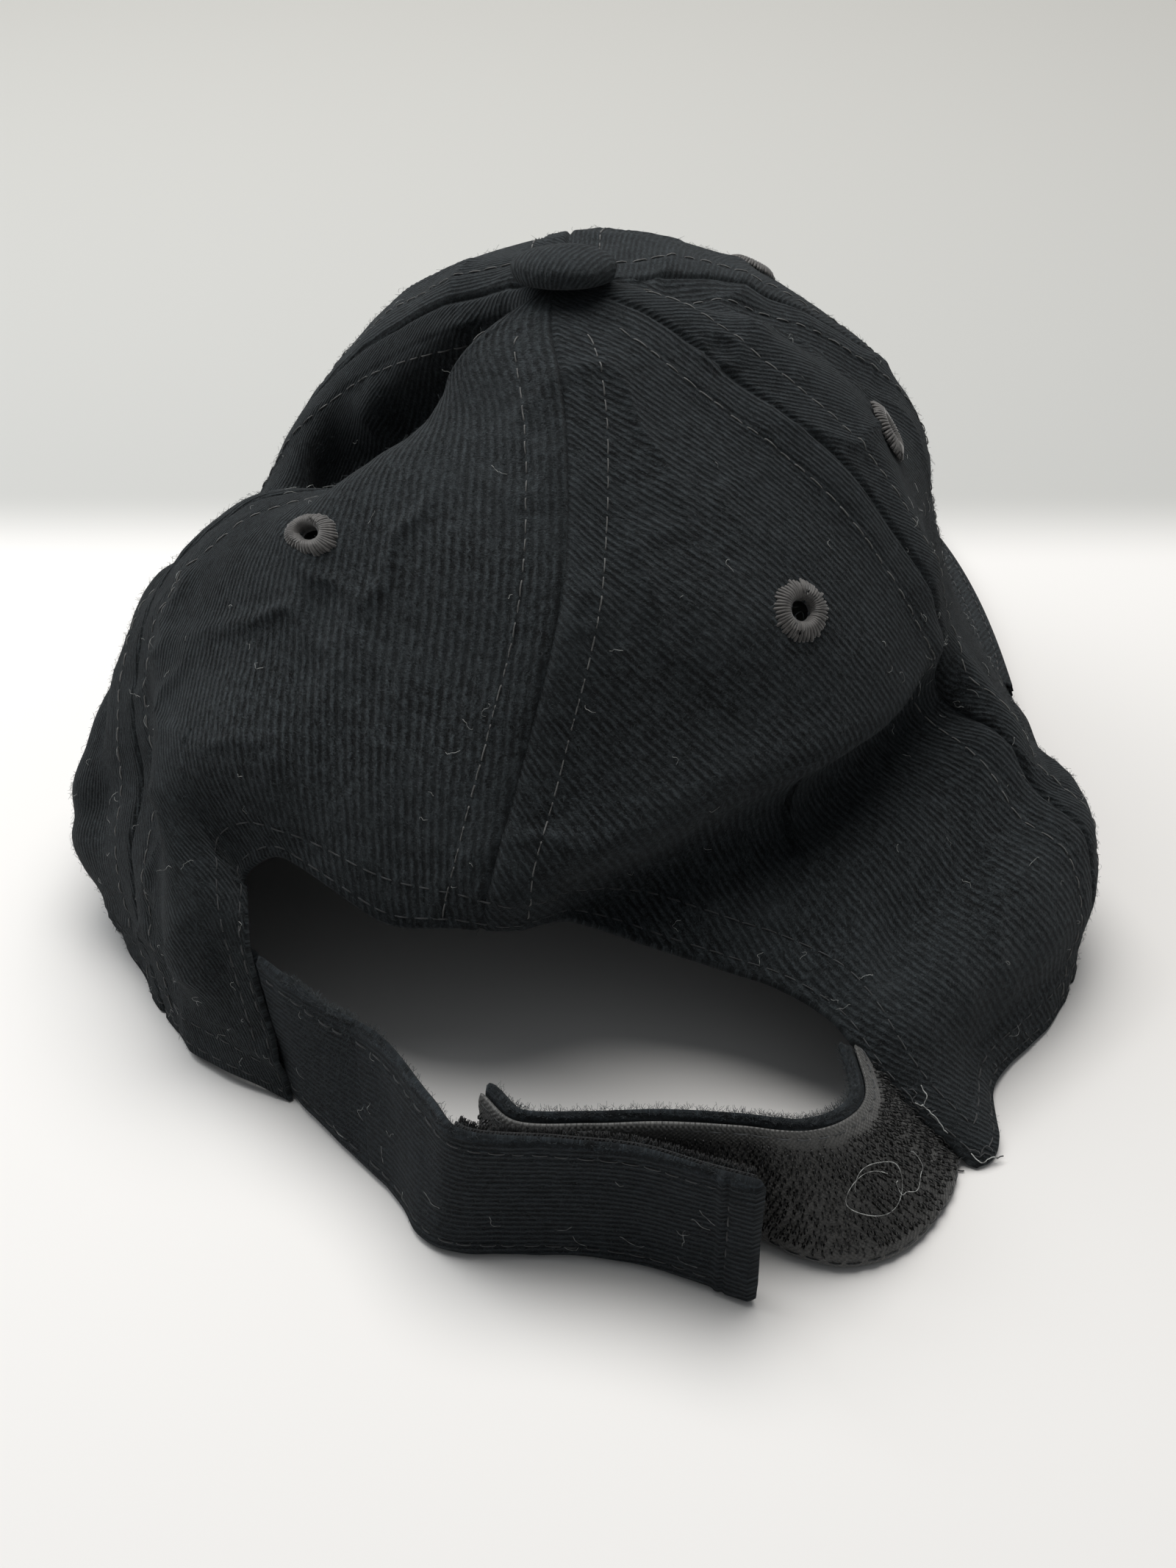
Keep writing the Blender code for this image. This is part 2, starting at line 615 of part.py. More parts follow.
def hinge_point(shape, place, side, depth):
    """A vertical hinge line through a strap, at its half height."""
    at = np.array([place - 0.05, place, place + 0.05])
    lower, upper = strap_edges(*shape, at)
    middle = (lower + upper) / 2
    along = middle[2] - middle[0]
    inward = np.array([-along[1], along[0], 0]) * side
    return middle[1] + inward / np.linalg.norm(inward) * depth


def make_strap_root(name, u_near, u_far, depth, thick, finish):
    """The end of a strap that is sewn in behind a tail."""
    u = np.linspace(u_near, u_far, 4)
    s = np.linspace(PANEL_LENGTH - 25.0, PANEL_LENGTH - 0.6, 5)
    outer = crown(u[:, None], s[None], depth)
    inner = crown(u[:, None], s[None], depth + thick)
    for grid in (outer, inner):
        grid[..., 2] = np.maximum(grid[..., 2], 0.5)
    solid_between(name, outer, inner, finish)


def make_straps():
    gap = 0.1       # half the room at a hinge, in points of a strap's list
    base = np.linspace(LOOP_ROOT + gap, LOOP_FOLD - gap, 9)
    end = np.linspace(LOOP_FOLD + gap, len(LOOP_LOW) - 1, 16)
    strap_layer("loop_strap_base", LOOP, base, 0.0, LOOP_FABRIC, 1, strap_twill())
    strap_layer("loop_strap_end", LOOP, end, 0.0, LOOP_FABRIC, 1, strap_twill())
    pile = np.linspace(LOOP_FOLD + 0.7, len(LOOP_LOW) - 1.1, 14)
    strap_layer("loop_tape", LOOP, pile, LOOP_FABRIC + CLEARANCE, LOOP_TAPE, 1, loop_pile(), 0.94)

    base = np.linspace(0.05, HOOK_BEND - gap, 13)
    end = np.linspace(HOOK_BEND + gap, len(HOOK_LOW) - 1, 14)
    under = HOOK_TAPE + CLEARANCE
    strap_layer("hook_strap_base", HOOK, base, under, HOOK_FABRIC, -1, strap_twill())
    strap_layer("hook_strap_end", HOOK, end, under, HOOK_FABRIC, -1, strap_twill())
    strap_layer("hook_tape_base", HOOK, base, 0.0, HOOK_TAPE, -1, hook_plastic(), 0.96)
    strap_layer("hook_tape_end", HOOK, end, 0.0, HOOK_TAPE, -1, hook_plastic(), 0.96)

    make_strap_root("loop_strap_root", 10.70, 10.95, TWILL + 1.6, LOOP_FABRIC, strap_twill())
    make_strap_root("hook_strap_root", 1.04, 1.30, TWILL + 0.9, HOOK_FABRIC, strap_twill())


def hang_on_axis(names, point, label):
    """Put moving pieces under an empty that stands on their hinge line."""
    pivot = bpy.data.objects.new(label, None)
    pivot.location = Vector(metres(point))
    bpy.context.collection.objects.link(pivot)
    for name in names:
        piece = bpy.data.objects[name]
        piece.data.transform(Matrix.Translation(-pivot.location))
        piece.parent = pivot


def main():
    for old in list(bpy.data.objects):
        bpy.data.objects.remove(old, do_unlink=True)
    for number, panel in enumerate(PANELS):
        make_panel(panel, number)
        make_eyelet(panel, number)
    seams = ["back", "right_rear", "right_front", "front", "left_front", "left_rear"]
    for number, seam in enumerate(seams):
        make_seam_tape(seam, 2 * number)
    make_arch_facing()
    make_sweatband()
    make_button()
    make_visor()
    make_straps()
    loop_root = hinge_point(LOOP, LOOP_ROOT, 1, 0.0)
    loop_fold = hinge_point(LOOP, LOOP_FOLD, 1, 0.0)
    hook_bend = hinge_point(HOOK, HOOK_BEND, -1, HOOK_TAPE + CLEARANCE + HOOK_FABRIC)
    hang_on_axis(["loop_strap_base"], loop_root, "loop_strap_swing_axis")
    hang_on_axis(["loop_strap_end", "loop_tape"], loop_fold, "loop_flap_peel_axis")
    hang_on_axis(["hook_strap_end", "hook_tape_end"], hook_bend, "hook_flap_swing_axis")


main()
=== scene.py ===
"""Looks of a soft six-panel cap in brushed black twill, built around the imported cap.

The cap stands on its rim with the visor towards +Y and the strap towards -Y.  Shapes
are worked out in millimetres in cap coordinates and turned into the frame's metres
when a mesh is made.  The crown is the surface crown_face(u, s): u goes round from the
back seam, two units to a panel, and s down from the button, in millimetres.
"""
import math

import bpy
import numpy as np
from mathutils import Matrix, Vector


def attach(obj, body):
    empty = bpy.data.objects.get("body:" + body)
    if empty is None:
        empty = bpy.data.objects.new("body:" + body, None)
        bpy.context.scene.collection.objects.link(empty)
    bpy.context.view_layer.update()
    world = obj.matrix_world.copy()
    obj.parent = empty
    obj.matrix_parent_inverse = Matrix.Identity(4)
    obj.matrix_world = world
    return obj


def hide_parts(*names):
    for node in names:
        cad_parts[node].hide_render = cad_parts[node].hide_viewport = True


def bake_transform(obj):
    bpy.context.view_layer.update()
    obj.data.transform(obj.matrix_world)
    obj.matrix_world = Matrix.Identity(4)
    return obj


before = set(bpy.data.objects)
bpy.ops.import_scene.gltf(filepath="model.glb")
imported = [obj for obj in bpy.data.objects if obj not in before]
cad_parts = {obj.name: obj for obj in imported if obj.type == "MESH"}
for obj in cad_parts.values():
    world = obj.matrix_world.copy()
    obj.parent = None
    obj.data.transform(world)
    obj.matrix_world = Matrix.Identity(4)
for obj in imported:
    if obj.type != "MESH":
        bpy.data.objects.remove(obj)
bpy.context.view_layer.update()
rng = np.random.default_rng(7)

FOOTPRINT_CENTRE = np.array([-1.2, 53.0, 0.0])
PANEL_LENGTH = 165.0
PANEL_COLUMN = 48.0
GORE_SHARE = 0.62                    # flat area of a panel over its width times its length
TWILL = 1.0
BUTTON_HOLE = 2.6
ARCH_TOP, STRAP_TOP = 108.0, 137.0
EYELET_PLACE, EYELET_HOLE = 67.0, 2.0
STITCH_SIDE = 6.0                    # topstitching beside a seam
HEM = 6.4                            # width of the turned hem
TAPE_WIDTH = 12.0
BUTTON_RADIUS, BUTTON_HEIGHT, BUTTON_LIFT = 8.6, 4.4, 1.6
BUTTON_TILT = math.radians(13)       # the button leans forward
VISOR_LENGTH, VISOR_HALF_WIDTH = 68.0, 83.0
VISOR_TOP, VISOR_CAMBER, VISOR_SLOPE, VISOR_BOARD = 18.1, 0.0024, 0.13, 1.8
VISOR_ROWS = 8                       # rows of stitches round the visor


def metres(points):
    """Cap coordinates in mm to the frame in m."""
    return (np.asarray(points, float) - FOOTPRINT_CENTRE) / 1000


# ------------------------------------------------------------- stage and camera
def look_from(place, target, kind, name, data):
    thing = bpy.data.objects.new(name, data)
    bpy.context.scene.collection.objects.link(thing)
    thing.location = Vector(metres(place))
    thing.rotation_euler = Vector(metres(target) - metres(place)).to_track_quat("-Z", "Y").to_euler()
    return thing


def make_camera():
    elevation, distance, target = math.radians(38), 380.0, np.array([0, -10, 45.0])
    lens = bpy.data.cameras.new("camera")
    lens.lens = 54.0
    lens.sensor_width = 36.0
    lens.clip_start, lens.clip_end = 0.01, 20
    back = np.array([0, -math.cos(elevation), math.sin(elevation)])
    bpy.context.scene.camera = look_from(target + back * distance, target, "CAMERA", "camera", lens)


def area_light(name, place, target, size, power, colour=(1, 1, 1)):
    light = bpy.data.lights.new(name, "AREA")
    light.shape = "DISK"
    light.size = size
    light.energy = power
    light.color = colour
    look_from(place, target, "LIGHT", name, light)


class Finish:
    """A material under construction, with short ways to add nodes to it."""

    def __init__(self, name, roughness, **sockets):
        self.made = bpy.data.materials.new(name)
        self.made.use_nodes = True
        self.tree = self.made.node_tree
        self.shader = self.tree.nodes["Principled BSDF"]
        self.shader.inputs["Roughness"].default_value = roughness
        for socket, value in sockets.items():
            self.shader.inputs[socket.replace("_", " ")].default_value = value

    def join(self, value, socket):
        if isinstance(value, bpy.types.NodeSocket):
            self.tree.links.new(value, socket)
        elif value is not None:
            socket.default_value = value

    def add(self, kind, inputs=(), out=0, **settings):
        node = self.tree.nodes.new("ShaderNode" + kind)
        for key, value in settings.items():
            setattr(node, key, value)
        pairs = inputs.items() if isinstance(inputs, dict) else enumerate(inputs)
        for key, value in pairs:
            self.join(value, node.inputs[key])
        return node.outputs[out]

    def math(self, operation, *values):
        return self.add("Math", values, operation=operation)

    def noise(self, place, scale, detail=2.0, rough=0.5):
        return self.add("TexNoise", {"Vector": place, "Scale": scale, "Detail": detail, "Roughness": rough})

    def turned(self, place, angle, scale):
        """Flat cloth coordinates turned by angle degrees and then scaled."""
        spun = self.add("Mapping", {"Vector": place, "Rotation": (0, 0, math.radians(angle))})
        return self.add("Mapping", {"Vector": spun, "Scale": scale})

    def blend(self, factor, a, b):
        return self.add("MixRGB", (factor, a, b))

    def ranged(self, value, low, high, to_low=0.0, to_high=1.0):
        return self.add("MapRange", (value, low, high, to_low, to_high))

    def colour(self, value):
        self.join(value, self.shader.inputs["Base Color"])

    def bump(self, height, distance, strength=1.0, under=None):
        inputs = {"Height": height, "Distance": distance, "Strength": strength, "Normal": under}
        return self.add("Bump", inputs)

    def normal(self, value):
        self.join(value, self.shader.inputs["Normal"])


def shade(colour, factor):
    return tuple(min(c * factor, 1) for c in colour[:3]) + (1,)


def twill(name, colour, pitch=0.95, angle=66.0, depth=0.4, sheen=0.08):
    """Brushed twill: diagonal ridges of yarn under a short nap, with paler fibres in it and painted shade in the
    grooves between the ridges.
    """
    f = Finish(name, 0.95, Sheen_Weight=sheen, Sheen_Roughness=0.5, Sheen_Tint=(0.8, 0.85, 0.9, 1),
               Specular_IOR_Level=0.15)
    flat = f.add("UVMap", uv_map="cloth")                       # 1 unit is 100 mm
    wander = f.math("MULTIPLY", f.noise(flat, 130, 3, 0.6), 3.2)
    across = f.add("SeparateXYZ", (f.turned(flat, -angle, (100, 100, 100)),), out=1)
    phase = f.math("MULTIPLY", across, 2 * math.pi / pitch)
    ridge = f.ranged(f.math("SINE", f.math("ADD", phase, wander)), -0.7, 0.9)
    yarn = f.noise(f.turned(flat, -angle, (100 / 1.5, 100 / 0.55, 1)), 1.0, 3, 0.75)
    nap = f.noise(flat, 300, 4, 0.8)
    patches = f.noise(flat, 6, 4, 0.6)
    height = f.math("ADD", f.math("MULTIPLY", ridge, 0.6), f.math("MULTIPLY", yarn, 0.8))
    height = f.math("ADD", height, f.math("MULTIPLY", nap, 0.9))
    f.normal(f.bump(height, depth / 1000, 1.0))
    tone = f.math("ADD", f.math("MULTIPLY", yarn, 0.5), f.math("MULTIPLY", nap, 0.5))
    tone = f.ranged(tone, 0.41, 0.60)
    base = f.blend(tone, shade(colour, 0.05), shade(colour, 2.7))
    # Painted shade: the grooves between the twill ridges are darkened in colour, broken up along the yarn, so the
    # ridges read as painted highlights.
    broken = f.ranged(f.noise(flat, 45, 3, 0.6), 0.35, 0.6, 0.25, 0.95)
    painted_groove_shade = f.math("MULTIPLY", f.math("SUBTRACT", 1.0, ridge), broken)
    base = f.blend(painted_groove_shade, base, shade(colour, 0.12))
    base = f.blend(f.ranged(patches, 0.40, 0.72, 0.0, 0.4), base, shade(colour, 1.5))
    fleck = f.ranged(f.noise(f.turned(flat, 20, (300, 800, 1)), 1.0, 1), 0.66, 0.76, 0.0, 0.7)
    f.colour(f.blend(fleck, base, shade(colour, 5.0)))
    return f.made


def woven(name, colour, pitch=0.7, depth=0.12, sheen=0.2, roughness=0.85, spread=0.5):
    """Plain weave: two crossing sets of ribs."""
    f = Finish(name, roughness, Sheen_Weight=sheen, Sheen_Roughness=0.4)
    flat = f.add("UVMap", uv_map="cloth")
    apart = f.add("SeparateXYZ", (f.add("Mapping", {"Vector": flat, "Scale": (100, 100, 100)}),))
    parts = apart.node.outputs
    turn = 2 * math.pi / pitch
    warp = f.math("SINE", f.math("MULTIPLY", parts[0], turn))
    weft = f.math("SINE", f.math("MULTIPLY", parts[1], turn))
    cross = f.math("MULTIPLY", warp, weft)
    fine = f.noise(flat, 350, 2, 0.6)
    height = f.math("ADD", f.ranged(cross, -1.0, 1.0), f.math("MULTIPLY", fine, 0.8))
    f.normal(f.bump(height, depth / 1000))
    f.colour(f.blend(f.ranged(fine, 0.3, 0.7), shade(colour, 1 - spread), shade(colour, 1 + spread)))
    return f.made


def plain(name, colour, roughness, spread=0.3, size=900.0, bumps=0.0, **sockets):
    """Thread, hair or plastic: one colour with small uneven shades."""
    f = Finish(name, roughness, **sockets)
    place = f.add("TexCoord", out=3)
    shades = f.noise(place, size, 2)
    f.colour(f.blend(f.ranged(shades, 0.35, 0.65), shade(colour, 1 - spread), shade(colour, 1 + spread)))
    if bumps:
        f.normal(f.bump(shades, bumps / 1000))
    return f.made


def make_stage():
    floor = bpy.data.meshes.new("floor")
    side = 3.0
    corners = [(-side, -side, 0), (side, -side, 0), (side, side, 0), (-side, side, 0)]
    floor.from_pydata(corners, [], [(0, 1, 2, 3)])
    thing = bpy.data.objects.new("floor", floor)
    bpy.context.scene.collection.objects.link(thing)
    thing.location.z = -0.0002
    f = Finish("floor_paper", 0.75)
    place = f.add("TexCoord", out=3)
    depth = f.add("SeparateXYZ", (place,), out=1)
    # Painted shade: the floor is painted darker from y = 0.072 to 0.104 m onwards, away from the camera, standing in
    # for a dimmer-lit backdrop; nearer it stays pale.
    far = f.add("MapRange", (depth, 0.072, 0.104, 0.0, 1.0), interpolation_type="SMOOTHSTEP")
    near = f.blend(f.noise(place, 3.0, 2), (0.79, 0.775, 0.76, 1), (0.83, 0.815, 0.80, 1))
    back = f.blend(f.ranged(depth, 0.12, 0.5), (0.50, 0.50, 0.485, 1), (0.57, 0.56, 0.53, 1))
    f.colour(f.blend(far, near, back))
    floor.materials.append(f.made)
    world = bpy.data.worlds.new("studio")
    bpy.context.scene.world = world
    world.use_nodes = True
    sky = world.node_tree.nodes["Background"]
    sky.inputs["Color"].default_value = (0.93, 0.97, 1.0, 1)
    sky.inputs["Strength"].default_value = 0.20
    area_light("ceiling", (0, 260, 850), (0, 20, 0), 0.8, 7.7, (1.0, 0.985, 0.96))
    area_light("window", (-450, 250, 520), (0, 20, 30), 0.5, 1.9, (0.95, 0.98, 1.0))
    bpy.context.scene.view_settings.view_transform = "Standard"


# ------------------------------------------------------------- crown surface
LEVELS = np.array([0, 12, 32, 56, 82, ARCH_TOP, STRAP_TOP, PANEL_LENGTH])
POLE = np.array([-4.0, 43.5, 107.0])
MERIDIANS = [
    # back seam; past ARCH_TOP its points only lead the surface on
    [(-4, 31, 104), (-3, 14, 94), (-4, -5, 79), (-10, -19, 57),
     (-17, -30, 32), (-20, -36, 4), (-22, -40, -24)],
    # middle of the back right panel, down to the right tail's end
    [(4, 33, 104), (15, 22, 94), (29, 9, 78), (38, -4, 58),
     (38, -13, 38), (43, -41, 18), (63, -52, 0)],
    # right rear seam
    [(8, 39, 104.5), (23, 32, 96.5), (43, 23, 84), (56, 16, 68),
     (62.5, 17, 49), (84.5, 0, 27), (83, -9, 0)],
    # middle of the right side panel
    [(9, 44, 105.5), (28, 42, 101), (44, 39, 90), (56, 38, 70),
     (62, 40, 47), (77, 38, 25), (89, 30, 0)],
    # right front seam
    [(6, 49, 105), (22, 56, 102.5), (38, 58, 95), (55, 62, 78),
     (62, 64, 54), (67, 67, 33), (78, 67, 13)],
    # middle of the front right panel
    [(1, 53, 105.5), (10, 69, 102.5), (24, 84, 93.5), (37, 98, 77),
     (44, 106, 54), (48, 108, 35), (47, 103, 17.7)],
    # front seam
    [(-4, 55, 104.5), (-3, 73, 100.5), (-2, 94, 89.5), (-1, 110, 72),
     (0, 118, 54), (0, 120, 37), (0, 117, 21.2)],
    # middle of the front left panel
    [(-9, 52, 106), (-17, 61, 103), (-27, 80, 91), (-36, 97, 74),
     (-41, 107, 53), (-43, 110, 35), (-42, 106, 18.4)],
    # left front seam
    [(-12, 48, 104), (-26, 53, 98), (-39.5, 62, 86), (-54, 64, 69),
     (-63, 66, 48), (-73, 71, 31), (-77, 71, 13)],
    # middle of the left side panel
    [(-12, 42, 103), (-26, 46, 85), (-43, 49, 72), (-60, 45, 64),
     (-77, 39, 50), (-89, 20, 27), (-86, 30, 0)],
    # left rear seam
    [(-12, 37, 103), (-21, 37, 88), (-37, 36, 74), (-58, 31, 72),
     (-74, 24, 56), (-77, -3, 30), (-75, -16, 0)],
    # middle of the back left panel, down to the left tail's end
    [(-11, 34, 103), (-20, 26, 93), (-37, 19, 81), (-54, 12, 68),
     (-64, -7, 48), (-55, -27, 25), (-49, -37, 0)],
]
AROUND = len(MERIDIANS)

# Places where the slumped cloth is drawn aside: centre (u, s), reach across and down
# in mm, and the shift in mm.
SHIFTS = [
    ((-1.45, 18), (9, 14), (-5, 0, 0)),         # ridge beside the dent
    ((-1.45, 45), (14, 22), (-4, 0, 0)),
    ((-3.65, 90), (12, 14), (3, 0, 0)),         # left side, seen past the shoulder
    ((-2.6, 95), (14, 10), (1.5, 0, -1)),
    ((-3.2, 130), (14, 12), (2.5, 0, 0)),
    ((-2.65, 147), (14, 12), (-3.8, 0, 0)),
    ((-2.0, 165), (20, 12), (3.2, 0, 0)),
    ((1.42, 165), (14, 25), (-10, 2, 0)),       # rim behind the right tail
    ((0.45, 113), (10, 10), (0, 0, -2)),        # edge of the back opening, right half
    ((0.75, 118), (16, 14), (0, -5.5, -2.5)),
    ((0.92, 128), (8, 10), (0, 0, -2.5)),
    ((-0.27, 110), (6, 8), (0, 0, -3.5)),       # edge of the back opening, left half
    ((-0.65, 113), (7, 8), (0, 0, 2.5)),
]

# Hollows, and ridges with a negative depth: centre line in (u, s), depth, half width.
FOLDS = [
    ([(0.3, 116), (0.7, 112), (1.1, 109), (1.6, 111)], 6, 13),      # under the right eyelet
    ([(0.3, 106), (0.6, 103), (1.0, 104), (1.5, 107), (1.95, 112)], 6.5, 5.5),
    ([(0.1, 99), (0.4, 92), (0.7, 90), (1.15, 93), (1.8, 100)], -3, 6.5),
    ([(1.25, 127), (2.0, 128), (2.6, 130)], 4, 6),                  # crease above the right tail
    ([(3.4, 20), (3.5, 45), (3.5, 68)], 3, 7),                      # crease beside the button
    ([(-2.7, 22), (-2.8, 46), (-3.0, 66), (-3.1, 76)], 13, 11.5),   # dent behind the left shoulder
    ([(-3.5, 26), (-3.4, 50)], -3, 5),
    ([(-0.62, 112), (-0.84, 120), (-0.9, 125)], 4, 8),              # inward curl of the left tail
    ([(-0.8, 102), (-1.1, 114), (-1.3, 128), (-1.4, 146)], -4, 8),
]
WRINKLES = [
    ([(2.2, 60), (1.7, 84), (1.2, 96)], 1.0, 7),
    ([(1.2, 30), (1.5, 50), (1.6, 70)], 0.9, 8),
    ([(0.5, 60), (1.0, 74), (1.5, 88)], -0.8, 7),
    ([(-0.4, 70), (-0.9, 88), (-1.4, 96)], 1.0, 9),
    ([(-1.6, 96), (-1.3, 112), (-1.2, 128)], -1.0, 6),
    ([(-2.3, 100), (-2.8, 118), (-2.4, 140)], 2.2, 6),
    ([(-2.9, 104), (-3.3, 122), (-3.1, 144)], -1.6, 6),
    ([(-1.8, 128), (-2.4, 136), (-3.0, 150)], 1.8, 5),
    ([(1.2, 140), (1.6, 146), (2.2, 152)], -1.2, 6),
    ([(2.6, 118), (3.0, 134), (3.2, 152)], 1.6, 7),
    ([(4.6, 70), (5.0, 96), (5.2, 120)], 0.9, 12),
    ([(6.8, 66), (7.1, 92), (7.4, 120)], 0.9, 12),
    ([(8.4, 60), (8.7, 84), (8.6, 110)], 1.2, 9),
]


def hermite(points, knots, place):
    """Smooth curve through points(k) at knots[k], with finite-difference slopes."""
    k = np.clip(np.searchsorted(knots, place, side="right") - 1, 1, len(knots) - 3)
    x0, x1, x2, x3 = (knots[k + d][..., None] for d in (-1, 0, 1, 2))
    p0, p1, p2, p3 = points(k - 1), points(k), points(k + 1), points(k + 2)
    m1 = ((p2 - p1) / (x2 - x1) * (x1 - x0) + (p1 - p0) / (x1 - x0) * (x2 - x1)) / (x2 - x0)
    m2 = ((p3 - p2) / (x3 - x2) * (x2 - x1) + (p2 - p1) / (x2 - x1) * (x3 - x2)) / (x3 - x1)
    h = x2 - x1
    t = (place[..., None] - x1) / h
    return ((2 * t**3 - 3 * t**2 + 1) * p1 + (t**3 - 2 * t**2 + t) * h * m1
            + (3 * t**2 - 2 * t**3) * p2 + (t**3 - t**2) * h * m2)


def crown_cage():
    """MERIDIANS as an array, led on over the button and past the rim."""
    down = np.array(MERIDIANS, float)
    across = np.roll(down[:, 0], AROUND // 2, axis=0)[:, None]
    top = np.repeat(POLE[None, None], AROUND, axis=0)
    past = (2 * down[:, -1] - down[:, -2])[:, None]
    return np.concatenate([across, top, down, past], axis=1)


CAGE = crown_cage()
KNOTS = np.concatenate([[-LEVELS[1]], LEVELS, [2 * LEVELS[-1] - LEVELS[-2]]]).astype(float)


def shift(u, s):
    """How far SHIFTS draw the crown aside."""
    total = np.zeros(np.broadcast(u, s).shape + (3,))
    for (u0, s0), (wide, long), move in SHIFTS:
        near = (around(u - u0) * column_width(s) / wide)**2 + ((s - s0) / long)**2
        total += np.exp(-near)[..., None] * np.array(move, float)
    return total


def smooth_crown(u, s):
    """The crown without its folds, at arrays u and s."""
    u, s = np.broadcast_arrays(np.asarray(u, float), np.asarray(s, float))
    first = np.floor(u).astype(int)
    line = [hermite(lambda k, c=first + d: CAGE[c % AROUND, k], KNOTS, s) for d in (-1, 0, 1, 2)]
    t = (u - first)[..., None]
    slope_a, slope_b = (line[2] - line[0]) / 2, (line[3] - line[1]) / 2
    return ((2 * t**3 - 3 * t**2 + 1) * line[1] + (t**3 - 2 * t**2 + t) * slope_a
            + (3 * t**2 - 2 * t**3) * line[2] + (t**3 - t**2) * slope_b + shift(u, s))


def column_width(s):
    """Width of one unit of u at the distance s from the button, in the flat panel."""
    return PANEL_COLUMN * np.sin(np.clip(np.asarray(s, float) / PANEL_LENGTH, 0, 1) * math.pi / 2) + 1.0


def around(u):
    """u taken to the nearer side of the back seam, -6 to 6."""
    return np.mod(np.asarray(u, float) + AROUND / 2, AROUND) - AROUND / 2


def fold_depth(folds, u, s):
    depth = np.zeros(np.broadcast(u, s).shape)
    for path, deepest, half_width in folds:
        near = np.full(depth.shape, np.inf)
        for (ua, sa), (ub, sb) in zip(path[:-1], path[1:]):
            width = column_width((sa + sb) / 2)
            x, y = around(u - ua) * width, s - sa
            run, fall = (ub - ua) * width, sb - sa
            t = np.clip((x * run + y * fall) / (run**2 + fall**2), 0, 1)
            near = np.minimum(near, np.hypot(x - t * run, y - t * fall))
        depth += deepest * np.exp(-(near / half_width)**2)
    return depth


def face_direction(shape, u, s):
    """Outward unit normal of a surface shape(u, s)."""
    along_u = shape(u + 0.02, s) - shape(u - 0.02, s)
    along_s = shape(u, s + 0.8) - shape(u, s - 0.8)
    normal = np.cross(along_s, along_u)
    return normal / np.maximum(np.linalg.norm(normal, axis=-1, keepdims=True), 1e-9)


def crown_face(u, s):
    """The outer face of the crown, with its folds."""
    press = (fold_depth(FOLDS, u, s) + fold_depth(WRINKLES, u, s))[..., None]
    return smooth_crown(u, s) - face_direction(smooth_crown, u, s) * press


def local_stretch(u, s):
    """Millimetres of crown to one unit of u."""
    return np.linalg.norm(crown_face(u + 0.02, s) - crown_face(u - 0.02, s), axis=-1) / 0.04


def smooth_step(value, low, high):
    t = np.clip((value - low) / (high - low), 0, 1)
    return t * t * (3 - 2 * t)


def noise(points, scale, seed):
    """Smooth noise, -1 to 1, with features of about scale mm."""
    lattice = np.random.default_rng(seed).uniform(-1, 1, (24, 24, 24))
    place = np.asarray(points, float) / scale
    cell = np.floor(place).astype(int)
    t = place - cell
    t = t * t * (3 - 2 * t)
    total = 0.0
    for corner in np.ndindex(2, 2, 2):
        weight = np.prod([t[..., a] if c else 1 - t[..., a] for a, c in enumerate(corner)], axis=0)
        index = [(cell[..., a] + c) % 24 for a, c in enumerate(corner)]
        total = total + weight * lattice[tuple(index)]
    return total


def hem_distance(u, s):
    """Distance from the free edge of the crown, in mm."""
    side = np.abs(around(u))
    x, y = side * PANEL_COLUMN, (STRAP_TOP - s)
    wide, high = PANEL_COLUMN, STRAP_TOP - ARCH_TOP
    ring = np.hypot(x / wide, y / high)
    slope = np.hypot(x / wide**2, y / high**2) / np.maximum(ring, 1e-6)
    arch = (ring - 1) / np.maximum(slope, 1e-6)
    tail = (side - 1) * PANEL_COLUMN
    return np.minimum(np.where(s < STRAP_TOP, arch, tail), PANEL_LENGTH - s)


def relief(u, s):
    """Height of the small shapes of the cloth over the crown: seams, hems, puckers, creases."""
    base = crown_face(u, s)
    seam = np.abs(np.asarray(u) - 2 * np.round(np.asarray(u) / 2)) * local_stretch(u, s)
    hem = hem_distance(u, s)
    height = 0.28 * (1 - smooth_step(seam, STITCH_SIDE - 0.2, STITCH_SIDE + 1.4))
    height -= 0.8 * np.exp(-(seam / 0.55)**2)
    height -= 0.28 * np.exp(-((seam - STITCH_SIDE) / 0.55)**2)
    pucker = noise(base * np.array([1, 1, 1.6]), 3.6, 3)
    height += 0.22 * pucker * np.exp(-((seam - STITCH_SIDE) / 4.5)**2)
    height += 0.45 * (1 - smooth_step(hem, HEM, HEM + 1.2))
    for row in (1.3, 5.4):
        height -= 0.22 * np.exp(-((hem - row) / 0.5)**2)
    height += 0.25 * noise(base, 5.0, 4) * (1 - smooth_step(hem, 4, 16))
    height += 0.9 * noise(base, 24, 5) + 0.42 * noise(base, 10, 6) + 0.08 * noise(base, 2.6, 8)
    crease = 1 - np.abs(noise(base, 19, 12) + 0.35 * noise(base, 7, 13))
    height += 1.3 * crease**7 * np.clip(0.4 + 1.2 * noise(base, 38, 14), 0, 1)
    return height * smooth_step(s, 3, 12)


def cloth(u, s, lift=0.0):
    """A point at height lift over the outer face of the crown's cloth."""
    u, s = np.broadcast_arrays(np.asarray(u, float), np.asarray(s, float))
    over = (relief(u, s) + lift)[..., None]
    return crown_face(u, s) + face_direction(crown_face, u, s) * over


